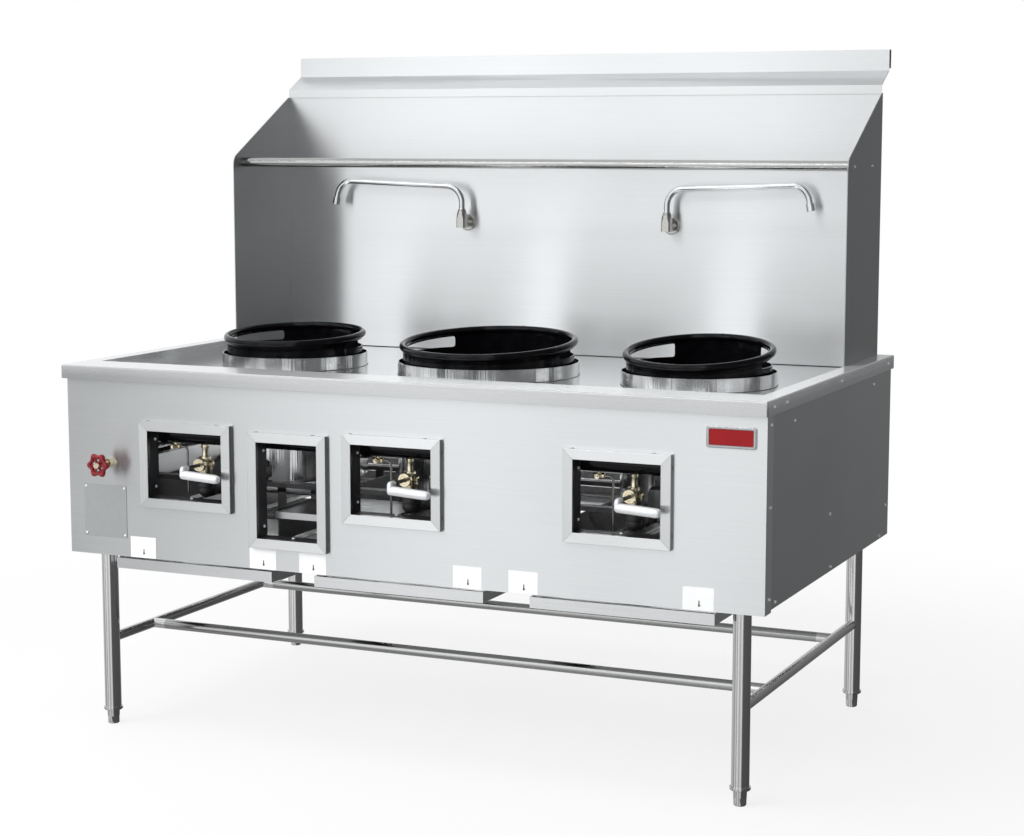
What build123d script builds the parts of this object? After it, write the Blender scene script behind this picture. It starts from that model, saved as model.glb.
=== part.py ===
from build123d import *
import os
from math import atan2, cos, degrees, hypot, pi, radians, sin, tan

# Three-burner wok range on a tubular leg frame, with a splash back, swing spouts and drip trays.
# Millimetres. +Z up, X to the range's right, +Y to its back. Origin on the floor, at the middle of the box.

os.makedirs("parts", exist_ok=True)

# ---------------------------------------------------------------- driving dimensions
# cabinet
range_width = 1829.0            # over the rim of the deck
cabinet_depth = 1053.0          # outer face of the front panel to outer face of the rear panel
panel_bottom = 450.0            # lower edge of the panels, above the floor
rim_bottom = 890.0              # lower edge of the rim's skirt
rim_top = 924.0                 # working height
deck_floor = 886.0              # water basin round the chambers
rim_side_reach = 6.0            # skirt outside the side panels
rim_front_reach = 18.0          # skirt in front of the front panel
rim_side_width = 44.0           # flat rim beside the basin
rim_front_width = 112.0         # flat rim in front of the basin
rim_radius = 4.0                # folded edge of the rim
sheet = 1.5                     # stainless sheet
wrap = 45.0                     # front panel's flange round each corner
return_flange = 25.0            # turned-in lower edge of the front panel
side_lift = 5.0                 # side panels stop this much above the front panel's lower edge

# chambers and wok rings
chamber_pitch = 564.0
chamber_forward = 37.0          # chamber centres ahead of the basin's middle
small_collar = 381.0            # outer diameters of the chamber shells
large_collar = 461.0
collar_height = 34.0            # shell above the deck
shell_wall = 2.0
shell_bottom = 600.0
seat_drop = 25.0                # ring seat below the collar's top
liner_wall = 6.0
liner_gap = 0.3
seat_ledge = 9.0                # ledge inside the shell that carries the liner
seat_width = 20.0               # liner flange inside the band
liner_straight = 90.0           # cylindrical part of the liner, below its flange
liner_floor = 690.0
liner_throat = 75.0             # radius of the hole that the burner stands in
notch_offset = -14.0
notch_width = 96.0              # notch in the shell's lower edge for the feed pipe
notch_height = 60.0
notch_radius = 22.0

ring_bar = 18.0                 # round bar of the wok ring
ring_inset = 3.5                # bar's outer edge inside the collar's outer edge
ring_band = 3.0                 # band under the bar
ring_height = 965.0             # bar's centre, over the chamber's centre
ring_tilts = (3.2, 4.4, 6.9)    # the bar rises to the rear, degrees
cut_front = 45.0                # hand hole in the band, ahead of and behind the side point
cut_rear = 157.0
cut_lift = 16.0                 # lower edge of the hand hole above the collar
cut_margin = 3.0                # web between hand hole and bar
cut_radius = 9.0
deck_gap = 0.3                  # hole in the deck round each shell

# legs and stretchers
leg_diameter = 41.3
tube_wall = 1.5
leg_side_inset = 70.7           # leg axis inside the side panel's outer face
leg_front_inset = 62.0
leg_rear_inset = 62.0
leg_top = 499.5
foot_height = 36.0
foot_top_diameter = 32.0
foot_bottom_diameter = 29.0
foot_stud = 16.0
foot_stud_length = 46.0
foot_ring_diameter = 48.0
foot_ring_height = 8.0
thread_gap = 0.06
stretcher_diameter = 25.4
stretcher_height = 221.5
tee_setback = 188.0             # tee axis from the leg axis
tee_length = 60.0
tee_branch = 42.0               # branch end from the side bar's axis
spigot_length = 20.0
spigot_gap = 0.1
socket_wall = 4.0
socket_gap = 0.3
socket_height = 45.0
socket_plate = 4.0
socket_plate_size = 90.0
socket_plate_inner = 32.0

# bottom frame
frame_height = 76.0
plate_thickness = 4.0
beam_flange = 60.0
rail_bar_height = 12.0
rail_bar_width = 30.0
rail_bar_setback = 178.0        # bar axis before and behind the chamber's centre
post_offsets = (46.0, 144.0)    # posts to the right of the chamber's centre
post_size = 24.0
cross_plate_side = 350.0
rear_rail = (549.0, 568.0)
shelf_edge = 50.0               # inner shelf behind the windows
shelf_top = 584.0
shelf_clear = 42.0              # inner shelf ends before the chamber bars
shelf_drop = 16.0

# windows
window_width = 210.0            # clear openings in front of the valves
window_height = 166.0
window_bottom = 604.0
tall_width = 165.0              # opening between the first and the second valve
tall_height = 233.0
tall_bottom = 527.0
tall_offset = -279.0
frame_border = 24.0
frame_proud = 12.0
liner_depth = 38.0
liner_sheet = 1.2

# gas line
manifold_diameter = 42.2
manifold_height = 756.0
manifold_end = 629.0
manifold_left = -800.0
manifold_bend = 60.0
inlet_reach = 30.0              # pipe ends behind the rear panel
inlet_bore = 34.0
manifold_stub = 40.0            # turned-down end for the supply
stub_length = 24.0
cap_rim = 1.4                   # cap over the pipe
cap_length = 26.0
hanger_gap = 0.3
hanger_thick = 4.0
hanger_width = 22.0
hanger_head = 26.0
hanger_side = 112.0             # hangers to the left of the chambers, clear of the pilots
far_hanger_side = 150.0
valve_offset = 15.0             # valve axis to the right of the chamber's centre
stem_height = 687.0
cock_face_diameter = 33.0
cock_face_setback = 30.0
cock_body_diameter = 36.0
stem_diameter = 9.0
stem_depth = 18.0
running_gap = 0.05
elbow_diameter = 40.0
elbow_height = 622.0
feed_diameter = 26.7
feed_collar = 34.0

# levers
grip_diameter = 22.0
grip_length = 107.0
grip_drop = 13.4
grip_setback = -40.0            # grip axis, in front of the panel
grip_start = -5.0               # left end of the grip, from the stem's axis
grip_droop = 3.6                # shut levers hang this many degrees below level
hub_diameter = 14.0
hub_front = 5.0                 # hub's end before the grip's axis
hub_rear = 19.0

# burners
burner_diameter = 130.0
burner_bottom = 645.0
burner_height = 30.0
jet_circle = ((12.0, 5), (32.0, 10), (50.0, 15))
jet_diameter = 11.0
jet_height = 24.0

# pilots
pilot_offset = -69.0
pilot_across = 13.0
pilot_length = 27.0
pilot_drop = 16.0
pilot_tube = 6.0
pilot_tube_bend = 16.0
pilot_tube_offset = -35.0
pilot_tube_bottom = 604.5

# water valve with its hand wheel
wheel_side = 121.0              # wheel axis from the front panel's left edge
wheel_height = 683.0
wheel_reach = 60.0              # front of the wheel's nut before the panel
wheel_radius = 29.0
wheel_thick = 11.0
wheel_lobes = 6
wheel_stem = 10.0
bonnet_across = 22.0
bonnet_length = 14.0
bonnet_neck = 19.0
valve_body_length = 66.0
valve_body_diameter = 27.0
valve_body_setback = 48.0
water_pipe = 16.0
water_stub = 20.0
water_pipe_bend = 24.0
water_side = 76.0               # outlet pipe's axis to the left of the wheel

# splash back
splash_inset = 3.0              # front face of the back panel before the rear of the cabinet
wing_depth = 312.0
wing_corner = 1425.0
wing_corner_radius = 32.0
wing_thickness = 2.0
wing_top_run = 9.0
splash_top = 1592.5
splash_gap = 0.3
stiffener_width = 60.0
stiffener_depth = 20.0
stiffener_side = 640.0
shelf_overhang = 4.0            # lip in front of the back panel
shelf_lip = 22.0
shelf_return = 16.0
shelf_rise = 38.0
shelf_run = 70.0
riser_height = 53.5
riser_depth = 18.0
rail_diameter = 25.4
rail_standoff = 255.0
rail_height = 1412.5

# swing spouts
faucet_side = 302.0
faucet_height = 1246.0
faucet_reach = 39.0             # swivel axis in front of the splash back
flange_diameter = 47.0
flange_thick = 5.0
nipple_diameter = 20.0
nipple_length = 22.0            # behind the splash back
faucet_body_across = 25.0
faucet_body_height = 51.0
faucet_body_drop = 14.0         # body below the nipple's axis
faucet_body_top = 19.4          # top diameter
spout_diameter = 16.0
spout_seat = 16.0
spout_height = 1345.5
spout_reach = 383.4             # swivel axis to the corner of the run and the tip
spout_slope = 2.1
spout_bend = 47.0
tip_slant = 11.0                # tip leans outward, degrees
tip_length = 48.4
aerator_diameter = 21.5
aerator_length = 20.0

# drip trays
tray_width = 446.0
tray_setback = 20.0
tray_bottom = 414.5
tray_lip = 26.0
tray_wall = 32.5
tray_depth = 930.0
tray_sheet = 1.2
tray_flange = 10.0
tray_lip_return = 10.0
runner_gap = 0.1
runner_clear = 1.5
runner_foot = 12.5

# plates and screws
data_plate_size = (124.0, 131.0)
data_plate_corner = (44.0, 496.0)
badge_size = (114.0, 48.0)
badge_corner = (771.0, 815.5)
plate_thick = 1.5
screw_radius = 4.0
screw_height = 2.8

# ---------------------------------------------------------------- derived
panel_width = range_width - 2 * rim_side_reach
half = panel_width / 2
splash_setback = cabinet_depth - splash_inset
shelf_front = splash_setback - shelf_overhang
wing_front = splash_setback - wing_depth
rail_setback = splash_setback - rail_standoff
shelf_reach = shelf_front + shelf_run + riser_depth
cap_diameter = manifold_diameter + 2 * cap_rim
manifold_setback = liner_depth + cap_diameter / 2 + 0.5
front = -(shelf_reach - wheel_reach) / 2        # y of the front panel's outer face
rim_rear = cabinet_depth + rim_radius - sheet
basin_half = half - rim_side_width + rim_side_reach
basin_front = rim_front_width - rim_front_reach
chamber_setback = (basin_front + splash_setback) / 2 - chamber_forward
chambers = (-chamber_pitch, 0.0, chamber_pitch)
names = ("left", "middle", "right")
collars = (small_collar, large_collar, small_collar)
collar_top = deck_floor + collar_height
seat_z = collar_top - seat_drop
valve_axes = [x + valve_offset for x in chambers]
wheel_x = -half + wheel_side


def y(setback):
    """Row-frame Y of a distance measured back from the front panel's face."""
    return front + setback


def block(x0, x1, d0, d1, z0, z1):
    """Box between two X, two setbacks and two heights."""
    centre = ((x0 + x1) / 2, (y(d0) + y(d1)) / 2, (z0 + z1) / 2)
    return Pos(*centre) * Box(abs(x1 - x0), abs(d1 - d0), abs(z1 - z0))


def bar_z(x, d, z0, z1, diameter):
    """Round bar along Z."""
    return Pos(x, y(d), (z0 + z1) / 2) * Cylinder(diameter / 2, z1 - z0)


def bar_y(x, z, d0, d1, diameter):
    """Round bar along Y."""
    return Pos(x, (y(d0) + y(d1)) / 2, z) * Rot(90, 0, 0) * Cylinder(diameter / 2, d1 - d0)


def bar_x(d, z, x0, x1, diameter):
    """Round bar along X."""
    return Pos((x0 + x1) / 2, y(d), z) * Rot(0, 90, 0) * Cylinder(diameter / 2, x1 - x0)


def hex_z(x, d, z0, z1, across):
    """Hexagon bar along Z."""
    outline = Plane((x, y(d), z0)) * RegularPolygon(across / 2, 6, major_radius=False)
    return extrude(outline, z1 - z0)


def hex_y(x, z, d0, d1, across):
    """Hexagon bar along Y."""
    plane = Plane(origin=(x, y(d0), z), x_dir=(1, 0, 0), z_dir=(0, 1, 0))
    return extrude(plane * RegularPolygon(across / 2, 6, major_radius=False), d1 - d0)


def hex_x(d, z, x0, x1, across):
    """Hexagon bar along X."""
    plane = Plane(origin=(x0, y(d), z), x_dir=(0, 1, 0), z_dir=(1, 0, 0))
    return extrude(plane * RegularPolygon(across / 2, 6, major_radius=False), x1 - x0)


def outline_yz(points, x0, x1):
    """Prism along X from (setback, height) points."""
    plane = Plane(origin=(x0, 0, 0), x_dir=(0, 1, 0), z_dir=(1, 0, 0))
    face = make_face(Polyline(*[(y(d), z) for d, z in points], close=True))
    return extrude(plane * face, x1 - x0)


def outline_xz(points, d0, d1):
    """Prism along Y from (x, height) points."""
    plane = Plane(origin=(0, y(d0), 0), x_dir=(1, 0, 0), z_dir=(0, -1, 0))
    face = make_face(Polyline(*points, close=True))
    return extrude(plane * face, -(d1 - d0))


def pipe(points, bend, diameter, bore=0.0):
    """Tube along straight runs with equal bends; points are (x, setback, z)."""
    path = FilletPolyline(*[(px, y(d), z) for px, d, z in points], radius=bend)
    plane = Plane(origin=path.position_at(0), z_dir=path.tangent_at(0))
    section = Circle(diameter / 2)
    if bore:
        section -= Circle(bore / 2)
    return sweep(plane * section, path)


def revolved(x, d, profile):
    """Solid of revolution about a vertical axis from (radius, height) points."""
    face = Plane.XZ * make_face(Polyline(*profile, close=True))
    return Pos(x, y(d), 0) * revolve(face, Axis.Z)


def mirrored(solids):
    """The solids and their mirror images in the YZ plane."""
    return list(solids) + [mirror(solid, Plane.YZ) for solid in solids]


nodes = {}


# ---------------------------------------------------------------- cabinet panels
def window_list():
    """(centre x, bottom z, width, height) of each clear opening."""
    windows = [(x, window_bottom, window_width, window_height) for x in chambers]
    windows.insert(1, (tall_offset, tall_bottom, tall_width, tall_height))
    return windows


def front_panel():
    top = rim_top - sheet
    body = block(-half, half, 0, sheet, panel_bottom, top)
    for side in (-1, 1):
        body += block(side * half, side * (half - sheet), 0, wrap, panel_bottom, top)
    inner = half - sheet
    body += block(-inner, inner, 0, return_flange, panel_bottom, panel_bottom + sheet)
    for x, bottom, width, height in window_list():
        w = width / 2 + liner_sheet
        body -= block(x - w, x + w, -1, sheet + 1, bottom - liner_sheet, bottom + height + liner_sheet)
    body -= bar_y(wheel_x, wheel_height, -1, sheet + 1, bonnet_neck + 0.6)
    return body


def side_panel(side):
    outer = side * (half - sheet)
    top = rim_top - sheet
    body = block(outer, outer - side * sheet, sheet, cabinet_depth - sheet, panel_bottom + side_lift, top)
    foot = block(outer - side * sheet, outer - side * 20, sheet, cabinet_depth - sheet,
                 panel_bottom + side_lift, panel_bottom + side_lift + sheet)
    for setback in (leg_front_inset, cabinet_depth - leg_rear_inset):
        x = side * (half - leg_side_inset)
        foot -= bar_z(x, setback, panel_bottom, panel_bottom + 50, leg_diameter + 2 * socket_wall + 3)
    foot -= block(-half, half, 0, return_flange + 1, panel_bottom, panel_bottom + 20)
    return body + foot


def rear_panel():
    body = block(-half + sheet, half - sheet, cabinet_depth - sheet, cabinet_depth, panel_bottom + side_lift,
                 deck_floor - sheet)
    hole = manifold_diameter + 4
    body -= bar_y(manifold_left, manifold_height, cabinet_depth - 5, cabinet_depth + 5, hole)
    for x in (wheel_x, wheel_x - water_side):
        body -= bar_y(x, wheel_height, cabinet_depth - 5, cabinet_depth + 5, water_pipe + 3)
    return body


nodes["front_panel"] = [front_panel()]
nodes["side_panel_left"] = [side_panel(-1)]
nodes["side_panel_right"] = [side_panel(1)]
nodes["rear_panel"] = [rear_panel()]


# ---------------------------------------------------------------- deck
def deck_top():
    outer = half + rim_side_reach
    solid = block(-outer, outer, -rim_front_reach, rim_rear, rim_bottom - 10, rim_top)
    edges = solid.edges().group_by(Axis.Z)[-1]
    uprights = solid.edges().filter_by(Axis.Z)
    solid = fillet(edges + uprights, rim_radius)
    inner = outer - sheet
    core = block(-inner, inner, -rim_front_reach + sheet, rim_rear - sheet, rim_bottom - 20, rim_top - sheet)
    core_edges = core.edges().group_by(Axis.Z)[-1]
    core_uprights = core.edges().filter_by(Axis.Z)
    core = fillet(core_edges + core_uprights, rim_radius - sheet)
    skirt = solid - core
    skirt -= block(-outer - 1, outer + 1, -rim_front_reach - 1, rim_rear + 1, rim_bottom - 30, rim_bottom)
    skirt -= block(-basin_half, basin_half, basin_front, rim_rear - sheet, rim_bottom, rim_top + 1)
    low = deck_floor - sheet
    basin = block(-basin_half - sheet, basin_half + sheet, basin_front - sheet, rim_rear - sheet, low,
                  rim_top - sheet)
    basin -= block(-basin_half, basin_half, basin_front, rim_rear, deck_floor, rim_top + 1)
    deck = skirt + basin
    for x, collar in zip(chambers, collars):
        deck -= bar_z(x, chamber_setback, low - 1, deck_floor + 1, collar + 2 * deck_gap)
    return deck


nodes["deck_top"] = [deck_top()]


# ---------------------------------------------------------------- chambers
def chamber_shell(x, collar):
    r = collar / 2
    inner = r - shell_wall
    ledge_top = seat_z - liner_wall
    shell = revolved(x, chamber_setback, [
        (r, shell_bottom), (r, collar_top), (inner, collar_top), (inner, ledge_top),
        (inner - seat_ledge, ledge_top), (inner - seat_ledge, ledge_top - 3), (inner, ledge_top - 3),
        (inner, shell_bottom)])
    mid = x + notch_offset
    notch = block(mid - notch_width / 2, mid + notch_width / 2, chamber_setback - r - 5, chamber_setback,
                  shell_bottom - notch_height, shell_bottom + notch_height)
    return shell - fillet(notch.edges().filter_by(Axis.Y), notch_radius)


def chamber_liner(x, collar):
    rim = collar / 2 - shell_wall - liner_gap
    bore = ring_radius(collar) - ring_band - seat_width
    knee = seat_z - liner_wall - liner_straight
    outer = bore + liner_wall
    throat = liner_throat
    return revolved(x, chamber_setback, [
        (bore, seat_z), (rim, seat_z), (rim, seat_z - liner_wall), (outer, seat_z - liner_wall),
        (outer, knee),
        (throat + 20 + liner_wall, liner_floor - liner_wall), (throat, liner_floor - liner_wall),
        (throat, liner_floor), (throat + 20, liner_floor), (bore, knee)])


def ring_radius(collar):
    """Radius of the ring bar's centre line, which is also the band's outer radius."""
    return collar / 2 - ring_inset - ring_bar / 2


def hand_hole(radius, tilt):
    """Prism that cuts the right-hand hole in a ring's band, in the ring's own frame."""
    first = -cut_front / radius
    last = cut_rear / radius
    middle = (first + last) / 2
    reach = radius * sin((last - first) / 2)
    low = collar_top + cut_lift
    slope = tan(radians(tilt)) * radius
    tops = [ring_height + slope * sin(a) - ring_bar / 2 - cut_margin for a in (first, last)]
    direction = (cos(middle), sin(middle), 0)
    plane = Plane(origin=(0, 0, 0), x_dir=(-sin(middle), cos(middle), 0), z_dir=direction)
    face = make_face(Polyline((-reach, low), (reach, low), (reach, tops[1]), (-reach, tops[0]), close=True))
    limit = min(cut_radius, 0.45 * (tops[0] - low))
    prism = extrude(plane * fillet(face.vertices(), limit), 2 * radius)
    return prism


def wok_ring(x, collar, tilt):
    radius = ring_radius(collar)
    top = ring_height + radius * tan(radians(tilt)) + 5
    band = Cylinder(radius, top - seat_z, align=(Align.CENTER, Align.CENTER, Align.MIN))
    band -= Cylinder(radius - ring_band, top - seat_z, align=(Align.CENTER, Align.CENTER, Align.MIN))
    band = Pos(0, 0, seat_z) * band
    above = Pos(0, 0, ring_height) * Rot(tilt, 0, 0) * Box(3 * radius, 3 * radius, 200,
                                                         align=(Align.CENTER, Align.CENTER, Align.MIN))
    band -= above
    hole = hand_hole(radius, tilt)
    band -= hole
    band -= mirror(hole, Plane.YZ)
    bar = Pos(0, 0, ring_height) * Rot(tilt, 0, 0) * Torus(radius, ring_bar / 2)
    return Pos(x, y(chamber_setback), 0) * (band + bar)


nodes["chamber_liners"] = [chamber_liner(x, collar) for x, collar in zip(chambers, collars)]
for name, x, collar, tilt in zip(names, chambers, collars, ring_tilts):
    nodes["chamber_shell_" + name] = [chamber_shell(x, collar)]
    nodes["wok_ring_" + name] = [wok_ring(x, collar, tilt)]


# ---------------------------------------------------------------- burners
def burner(x):
    body = bar_z(x, chamber_setback, burner_bottom, burner_bottom + burner_height, burner_diameter)
    return fillet(body.edges().group_by(Axis.Z)[-1], 6)


def burner_jets(x):
    jets = []
    z = burner_bottom + burner_height
    for radius, count in jet_circle:
        for k in range(count):
            angle = 2 * pi * k / count
            d = chamber_setback + radius * sin(angle)
            jets.append(hex_z(x + radius * cos(angle), d, z, z + jet_height, jet_diameter))
    return jets


nodes["burners"] = [burner(x) for x in chambers]
nodes["burner_jets"] = [jet for x in chambers for jet in burner_jets(x)]


# ---------------------------------------------------------------- gas line
def gas_manifold():
    rear = cabinet_depth + inlet_reach
    shoulder = rear - stub_length
    d = manifold_setback
    z = manifold_height
    run = pipe([(manifold_end, d, z), (manifold_left, d, z), (manifold_left, shoulder, z)], manifold_bend,
               manifold_diameter)
    run += bar_y(manifold_left, manifold_height, shoulder, rear, manifold_stub)
    run -= bar_y(manifold_left, manifold_height, rear - stub_length, rear + 1, inlet_bore)
    cap = bar_x(manifold_setback, manifold_height, manifold_end, manifold_end + cap_length, cap_diameter)
    cap = fillet(cap.edges().group_by(Axis.X)[-1], 6)
    return [run + cap]


def manifold_brackets():
    """Hangers: a strap from the basin's underside down behind the pipe, with a foot under it."""
    hangers = []
    radius = manifold_diameter / 2
    low = manifold_height - radius - hanger_gap - hanger_thick
    back = manifold_setback + radius + hanger_gap
    top = deck_floor - sheet
    for x in (chambers[0] - hanger_side, chambers[1] - hanger_side, chambers[2] - far_hanger_side):
        strap = block(x, x + hanger_width, back, back + hanger_thick, low, top)
        foot = block(x, x + hanger_width, manifold_setback - radius, back, low, low + hanger_thick)
        head = block(x, x + hanger_width, back, back + hanger_head, top - hanger_thick, top)
        hangers.append(strap + foot + head)
    return hangers


def gas_cock(x):
    """Brass ball cock: union nut, neck, body, round face with the stem's bore, lower neck."""
    d = manifold_setback
    top = manifold_height - manifold_diameter / 2
    cock = hex_z(x, d, top - 9, top, 17)
    cock += bar_z(x, d, top - 30, top - 9, 14)
    cock += hex_z(x, d, top - 42, top - 30, 26)
    body = revolved(x, d, [(0, top - 42), (12, top - 42), (cock_body_diameter / 2, top - 54),
                           (cock_body_diameter / 2, top - 70), (10, top - 82), (8, top - 82), (8, cock_low),
                           (0, cock_low)])
    cock += body
    cock += bar_y(x, stem_height, cock_face_setback, d, cock_face_diameter - 8)
    cock += bar_y(x, stem_height, cock_face_setback, cock_face_setback + 10, cock_face_diameter)
    hole = stem_diameter + 2 * running_gap
    return cock - bar_y(x, stem_height, cock_face_setback - 1, cock_face_setback + stem_depth, hole)


def feed_pipe(x):
    """Iron elbow under the cock, a run back under the chamber and an upturned end at the burner."""
    d = manifold_setback
    end = chamber_setback
    elbow = Pos(x, y(d), elbow_height) * Sphere(elbow_diameter / 2)
    elbow += bar_z(x, d, elbow_height, cock_low, feed_collar)
    elbow += bar_y(x, elbow_height, d, d + 26, feed_collar)
    elbow += bar_y(x, elbow_height, d + 20, end, feed_diameter)
    elbow += Pos(x, y(end), elbow_height) * Sphere(feed_collar / 2)
    elbow += bar_z(x, end, elbow_height, burner_bottom, feed_collar)
    return elbow


cock_low = elbow_height + 20.0
nodes["gas_manifold"] = gas_manifold()
nodes["manifold_brackets"] = manifold_brackets()
nodes["gas_cocks"] = [gas_cock(x) for x in valve_axes]
nodes["burner_feed_pipes"] = [feed_pipe(x) for x in valve_axes]


def valve_lever(x):
    left = x + grip_start
    grip = bar_x(grip_setback, stem_height - grip_drop, left, left + grip_length, grip_diameter)
    grip = fillet(grip.edges().filter_by(GeomType.CIRCLE), 5)
    grip = grip.rotate(Axis((x, 0, stem_height), (0, 1, 0)), grip_droop)
    hub = bar_y(x, stem_height, grip_setback - hub_front, grip_setback + hub_rear, hub_diameter)
    hub = fillet(hub.edges().group_by(Axis.Y)[0], 5)
    return grip + hub


def valve_stem(x):
    end = cock_face_setback + stem_depth - 1
    return bar_y(x, stem_height, grip_setback + hub_rear, end, stem_diameter)


for name, x in zip(names, valve_axes):
    nodes["valve_lever_" + name] = [valve_lever(x)]
    nodes["valve_stem_" + name] = [valve_stem(x)]


# ---------------------------------------------------------------- pilots
def pilot_valve(x):
    d = manifold_setback
    top = manifold_height - manifold_diameter / 2
    mid = top - pilot_drop + pilot_across / 2
    body = bar_z(x + pilot_offset, d, mid, top, 9)
    left = x + pilot_offset - pilot_length / 2
    body += hex_x(d, mid, left, left + pilot_length, pilot_across)
    body += bar_y(x + pilot_offset, mid, d - 16, d, 8)
    return body


def pilot_pipe(x):
    mid = manifold_height - manifold_diameter / 2 - pilot_drop + pilot_across / 2
    start = x + pilot_offset + pilot_length / 2
    down = x + pilot_tube_offset
    far = chamber_setback - 90
    route = [(start, manifold_setback, mid), (down, manifold_setback, mid)]
    route += [(down, manifold_setback, pilot_tube_bottom), (down, far, pilot_tube_bottom)]
    return pipe(route + [(down, far, burner_bottom + burner_height)], pilot_tube_bend, pilot_tube)


nodes["pilot_valves"] = [pilot_valve(x) for x in chambers]
nodes["pilot_tubes"] = [pilot_pipe(x) for x in chambers]


# ---------------------------------------------------------------- windows
def window_frame(x, bottom, width, height):
    """Four mitred members round one opening."""
    w = width / 2
    b = frame_border
    top = bottom + height
    corners = [((x - w, bottom), (x - w - b, bottom - b)), ((x + w, bottom), (x + w + b, bottom - b)),
               ((x + w, top), (x + w + b, top + b)), ((x - w, top), (x - w - b, top + b))]
    members = []
    for k in range(4):
        inner_a, outer_a = corners[k]
        inner_b, outer_b = corners[(k + 1) % 4]
        members.append(outline_xz([inner_a, outer_a, outer_b, inner_b], -frame_proud, 0))
    return members


def window_liner(x, bottom, width, height):
    """Four plates that line the opening behind its frame."""
    w = width / 2
    top = bottom + height
    t = liner_sheet
    return [block(x - w - t, x + w + t, 0, liner_depth, bottom - t, bottom),
            block(x - w - t, x + w + t, 0, liner_depth, top, top + t),
            block(x - w - t, x - w, 0, liner_depth, bottom, top),
            block(x + w, x + w + t, 0, liner_depth, bottom, top)]


nodes["window_frames"] = [member for window in window_list() for member in window_frame(*window)]
nodes["window_liners"] = [plate for window in window_list() for plate in window_liner(*window)]


# ---------------------------------------------------------------- legs, feet and stretchers
leg_x = half - leg_side_inset
leg_setbacks = (leg_front_inset, cabinet_depth - leg_rear_inset)
leg_places = [(side * leg_x, setback) for setback in leg_setbacks for side in (-1, 1)]
leg_names = ("front_left", "front_right", "rear_left", "rear_right")


def leg(x, d):
    tube = bar_z(x, d, foot_height, leg_top, leg_diameter)
    tube -= bar_z(x, d, foot_height + 12, leg_top + 1, leg_diameter - 2 * tube_wall)
    ring = bar_z(x, d, foot_height, foot_height + foot_ring_height, foot_ring_diameter)
    ring = fillet(ring.edges().group_by(Axis.Z)[0], 3)
    hole = bar_z(x, d, foot_height - 1, foot_height + 13, foot_stud + 2 * thread_gap)
    return tube + ring - hole


def foot(x, d):
    bullet = revolved(x, d, [(0, 0), (foot_bottom_diameter / 2 - 2, 0), (foot_bottom_diameter / 2, 2),
                             (foot_top_diameter / 2, foot_height), (0, foot_height)])
    for angle in (45, 135, 225, 315):
        flat = Pos(x, y(d), foot_height / 3) * Rot(0, 0, angle) * Pos(foot_bottom_diameter / 2 + 4, 0, 0)
        bullet -= flat * Box(10, 30, foot_height / 2.5)
    return bullet + bar_z(x, d, foot_height, foot_height + foot_stud_length, foot_stud)


def leg_socket(x, d):
    hole = leg_diameter + 2 * socket_gap
    cup = bar_z(x, d, leg_top + 0.5 - socket_height, leg_top + 0.5, hole + 2 * socket_wall)
    cup -= bar_z(x, d, leg_top - socket_height - 1, leg_top + 1, hole)
    s = socket_plate_size / 2
    side = 1 if x > 0 else -1
    edge = side * (half - 3 * sheet)
    inner = x - side * socket_plate_inner
    return cup + block(inner, edge, d - s, d + s, leg_top + 0.5, leg_top + 0.5 + socket_plate)


def side_bar(side):
    x = side * leg_x
    marks = (leg_setbacks[0] + tee_setback, leg_setbacks[1] - tee_setback)
    t = tee_length / 2
    spans = ((leg_setbacks[0], marks[0] - t), (marks[0] + t, marks[1] - t), (marks[1] + t, leg_setbacks[1]))
    pieces = []
    for start, end in spans:
        tube = bar_y(x, stretcher_height, start, end, stretcher_diameter)
        tube -= bar_y(x, stretcher_height, start - 1, end + 1, stretcher_diameter - 2 * tube_wall)
        for setback in leg_setbacks:
            tube -= bar_z(x, setback, stretcher_height - 40, stretcher_height + 40, leg_diameter)
        pieces.append(tube)
    return pieces


def long_bar(d):
    reach = leg_x - tee_branch
    tube = bar_x(d, stretcher_height, -reach, reach, stretcher_diameter)
    return tube - bar_x(d, stretcher_height, -reach - 1, reach + 1, stretcher_diameter - 2 * tube_wall)


def tee(side, d):
    x = side * leg_x
    z = stretcher_height
    plug = stretcher_diameter - 2 * tube_wall - 2 * spigot_gap
    body = bar_y(x, z, d - tee_length / 2, d + tee_length / 2, stretcher_diameter)
    body += bar_y(x, z, d - tee_length / 2 - spigot_length, d + tee_length / 2 + spigot_length, plug)
    ends = sorted((x, x - side * tee_branch))
    body += bar_x(d, z, ends[0], ends[1], stretcher_diameter)
    tips = sorted((x, x - side * (tee_branch + spigot_length)))
    return body + bar_x(d, z, tips[0], tips[1], plug)


tee_marks = (leg_setbacks[0] + tee_setback, leg_setbacks[1] - tee_setback)
nodes["legs"] = [leg(x, d) for x, d in leg_places]
nodes["leg_sockets"] = [leg_socket(x, d) for x, d in leg_places]
nodes["side_stretchers"] = side_bar(-1) + side_bar(1)
nodes["long_stretchers"] = [long_bar(d) for d in tee_marks]
nodes["tee_fittings"] = [tee(side, d) for side in (-1, 1) for d in tee_marks]
for name, (x, d) in zip(leg_names, leg_places):
    nodes["levelling_foot_" + name] = [foot(x, d)]


# ---------------------------------------------------------------- bottom frame and tray runners
frame_low = leg_top + 0.5 + socket_plate
frame_top = shell_bottom - rail_bar_height
frame_side = half - 3 * sheet


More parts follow.
